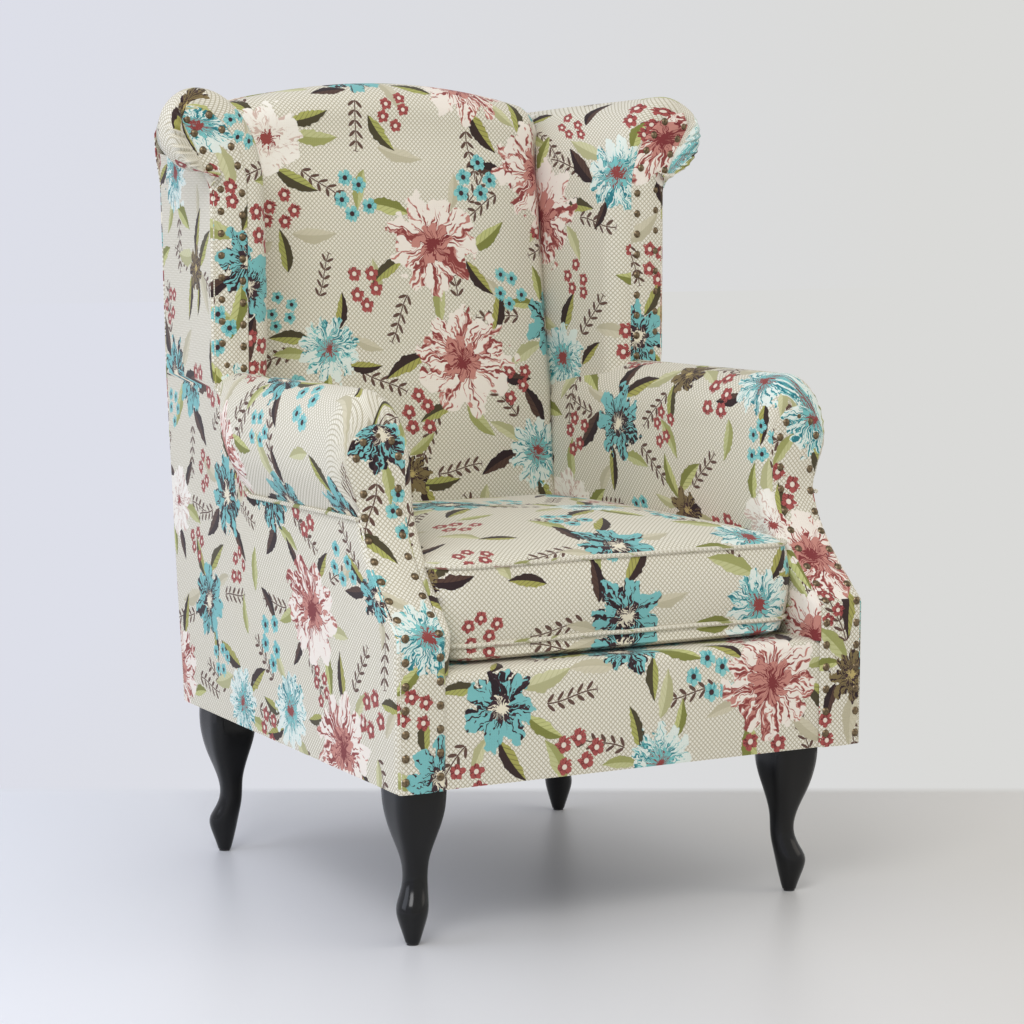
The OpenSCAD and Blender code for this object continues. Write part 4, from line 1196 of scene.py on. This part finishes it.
# crumbly block foam, yellowed a little
foam = plainMaterial("upholsteryFoam", "#d8c98f", "#e8dcaa", 3, (0.85, 0.95), relief=0.6)
for piece in pads:
    setMaterial(piece, foam)
# beech with long grain, birch plywood, tempered wire, zinc plate, jute, felt, spun cloth, nylon and brass
carried = {
    ("front_rail", "back_rail", "side_rail", "arm_post", "back_post", "arm_rail", "wing_frame",
     "back_top_rail", "back_tack_rail"):
        plainMaterial("beechTimber", "#b08a5c", "#cfae7e", 9, (0.55, 0.75), stretch=(0.12, 1, 1)),
    ("corner_block",): plainMaterial("birchPlywood", "#b5925f", "#d9bd8c", 5, (0.6, 0.8), stretch=(1, 1, 6)),
    ("seat_springs",): plainMaterial("temperedWire", "#4a4a4d", "#6a6a6e", 2, (0.30, 0.45), 1.0),
    ("spring_clips", "leg_bolts"): plainMaterial("zincPlate", "#8d9093", "#b4b7ba", 4, (0.25, 0.45), 1.0),
    ("back_webbing",):
        plainMaterial("juteWebbing", "#8a6a42", "#b8976a", 1.6, (0.85, 0.95), stretch=(1, 1, 3), relief=0.8),
    ("seat_deck",): plainMaterial("deckFelt", "#b9ad92", "#d2c8af", 1.2, (0.9, 0.98), relief=0.6),
    ("dust_cover",): plainMaterial("spunDustCloth", "#141415", "#232325", 1.0, (0.8, 0.95), relief=0.5),
    ("zip_tape",): plainMaterial("zipTape", "#b5aa8f", "#cbc1a8", 1.0, (0.8, 0.9), relief=0.6),
    ("glides",): plainMaterial("nylonGlide", "#1c1c1d", "#2b2b2c", 2, (0.4, 0.55)),
    ("zip_slider", "arm_nails", "wing_nails"):
        plainMaterial("antiqueBrass", "#54483a", "#8d7b60", 3, (0.28, 0.48), 1.0)}
for stems, material in carried.items():
    for name, piece in frame["nodes"].items():
        if piece and name.startswith(stems):
            for slot in piece.material_slots:
                slot.material = material
print("chair: materials set")


# camera, floor and light
view = {"place": (-1.892, -3.389, 0.918), "yaw": 29.61, "down": 6.31, "lens": 100.9,
        "shiftX": 0.0045, "shiftY": 0.0015}
cameraData = bpy.data.cameras.new("camera")
camera = bpy.data.objects.new("camera", cameraData)
bpy.context.scene.collection.objects.link(camera)
camera.location = view["place"]
camera.rotation_euler = (math.radians(90 - view["down"]), 0, -math.radians(view["yaw"]))
cameraData.lens = view["lens"]
cameraData.sensor_width = 36
cameraData.shift_x = view["shiftX"]
cameraData.shift_y = view["shiftY"]
cameraData.clip_end = 60
bpy.context.scene.camera = camera

# floor: beyond the line where it meets the wall it takes the wall's own even light
studio = {"wallLine": 4.38, "wallLeft": "#dddfe9", "wallRight": "#dadad8",
          "floorLeft": "#e8ebf3", "floorRight": "#d6d3cd"}
deselectAll()
bpy.ops.mesh.primitive_plane_add(size=40, location=(0, 0, 0))
floor = bpy.context.object
floor.name = "floor"
floorMaterial, tree, shader = newMaterial("paintedFloor")
shader.inputs["Roughness"].default_value = 0.38
shader.inputs["Specular IOR Level"].default_value = 0.35
place = addNode(tree, "ShaderNodeTexCoord").outputs["Object"]
turn = math.radians(view["yaw"])
ahead = (math.sin(turn), math.cos(turn), 0)
sideways = (math.cos(turn), -math.sin(turn), 0)
start = [view["place"][i] + ahead[i] * studio["wallLine"] for i in (0, 1)] + [0]
place = vector(tree, "SUBTRACT", place, start)
across = vector(tree, "DOT_PRODUCT", place, sideways)
across = remap(tree, across, -0.9, 0.7)
# painted light: the floor's colour is painted lighter and cooler towards the left, where the window light
# falls, and darker and warmer towards the right
floorPaintAndLight = mixInk(tree, across, srgb(studio["floorLeft"]), srgb(studio["floorRight"]))
tree.links.new(floorPaintAndLight, shader.inputs["Base Color"])
wallPaint = mixInk(tree, across, srgb(studio["wallLeft"]), srgb(studio["wallRight"]))
place = vector(tree, "DOT_PRODUCT", place, ahead)
beyond = remap(tree, place, -0.01, 0.03)
wall = addNode(tree, "ShaderNodeEmission", {"Color": wallPaint, "Strength": 1.0}).outputs[0]
surface = addNode(tree, "ShaderNodeMixShader", {0: beyond, 1: shader.outputs[0], 2: wall}).outputs[0]
tree.links.new(surface, tree.nodes["Material Output"].inputs["Surface"])
setMaterial(floor, floorMaterial)

world = bpy.data.worlds.new("studio")
bpy.context.scene.world = world
world.use_nodes = True
tree = world.node_tree
toward = addNode(tree, "ShaderNodeTexCoord").outputs["Generated"]
across = vector(tree, "DOT_PRODUCT", toward, sideways)
across = remap(tree, across, -0.18, 0.14)
around = mixInk(tree, across, srgb(studio["wallLeft"]), srgb(studio["wallRight"]))
tree.links.new(around, tree.nodes["Background"].inputs["Color"])
world.node_tree.nodes["Background"].inputs["Strength"].default_value = 1.0


def softLight(name, place, target, size, power, colour):
    data = bpy.data.lights.new(name, "AREA")
    data.shape = "RECTANGLE"
    data.size, data.size_y = size
    data.energy = power
    data.color = srgb(colour)[:3]
    lamp = bpy.data.objects.new(name, data)
    bpy.context.scene.collection.objects.link(lamp)
    lamp.location = place
    lamp.rotation_euler = (Vector(target) - Vector(place)).to_track_quat("-Z", "Y").to_euler()


softLight("keyLight", (-2.2, -2.4, 3.2), (0, 0, 0.5), (1.8, 1.6), 60, "#ffffff")
softLight("windowLight", (-3.4, 0.3, 1.9), (0, 0, 0.6), (2.2, 2.0), 26, "#e9f0ff")
softLight("fillLight", (3.0, -2.2, 2.2), (0, 0, 0.6), (2.2, 2.2), 16, "#fff6ea")
bpy.context.scene.view_settings.view_transform = "Standard"
print("chair: camera, floor and lights placed")
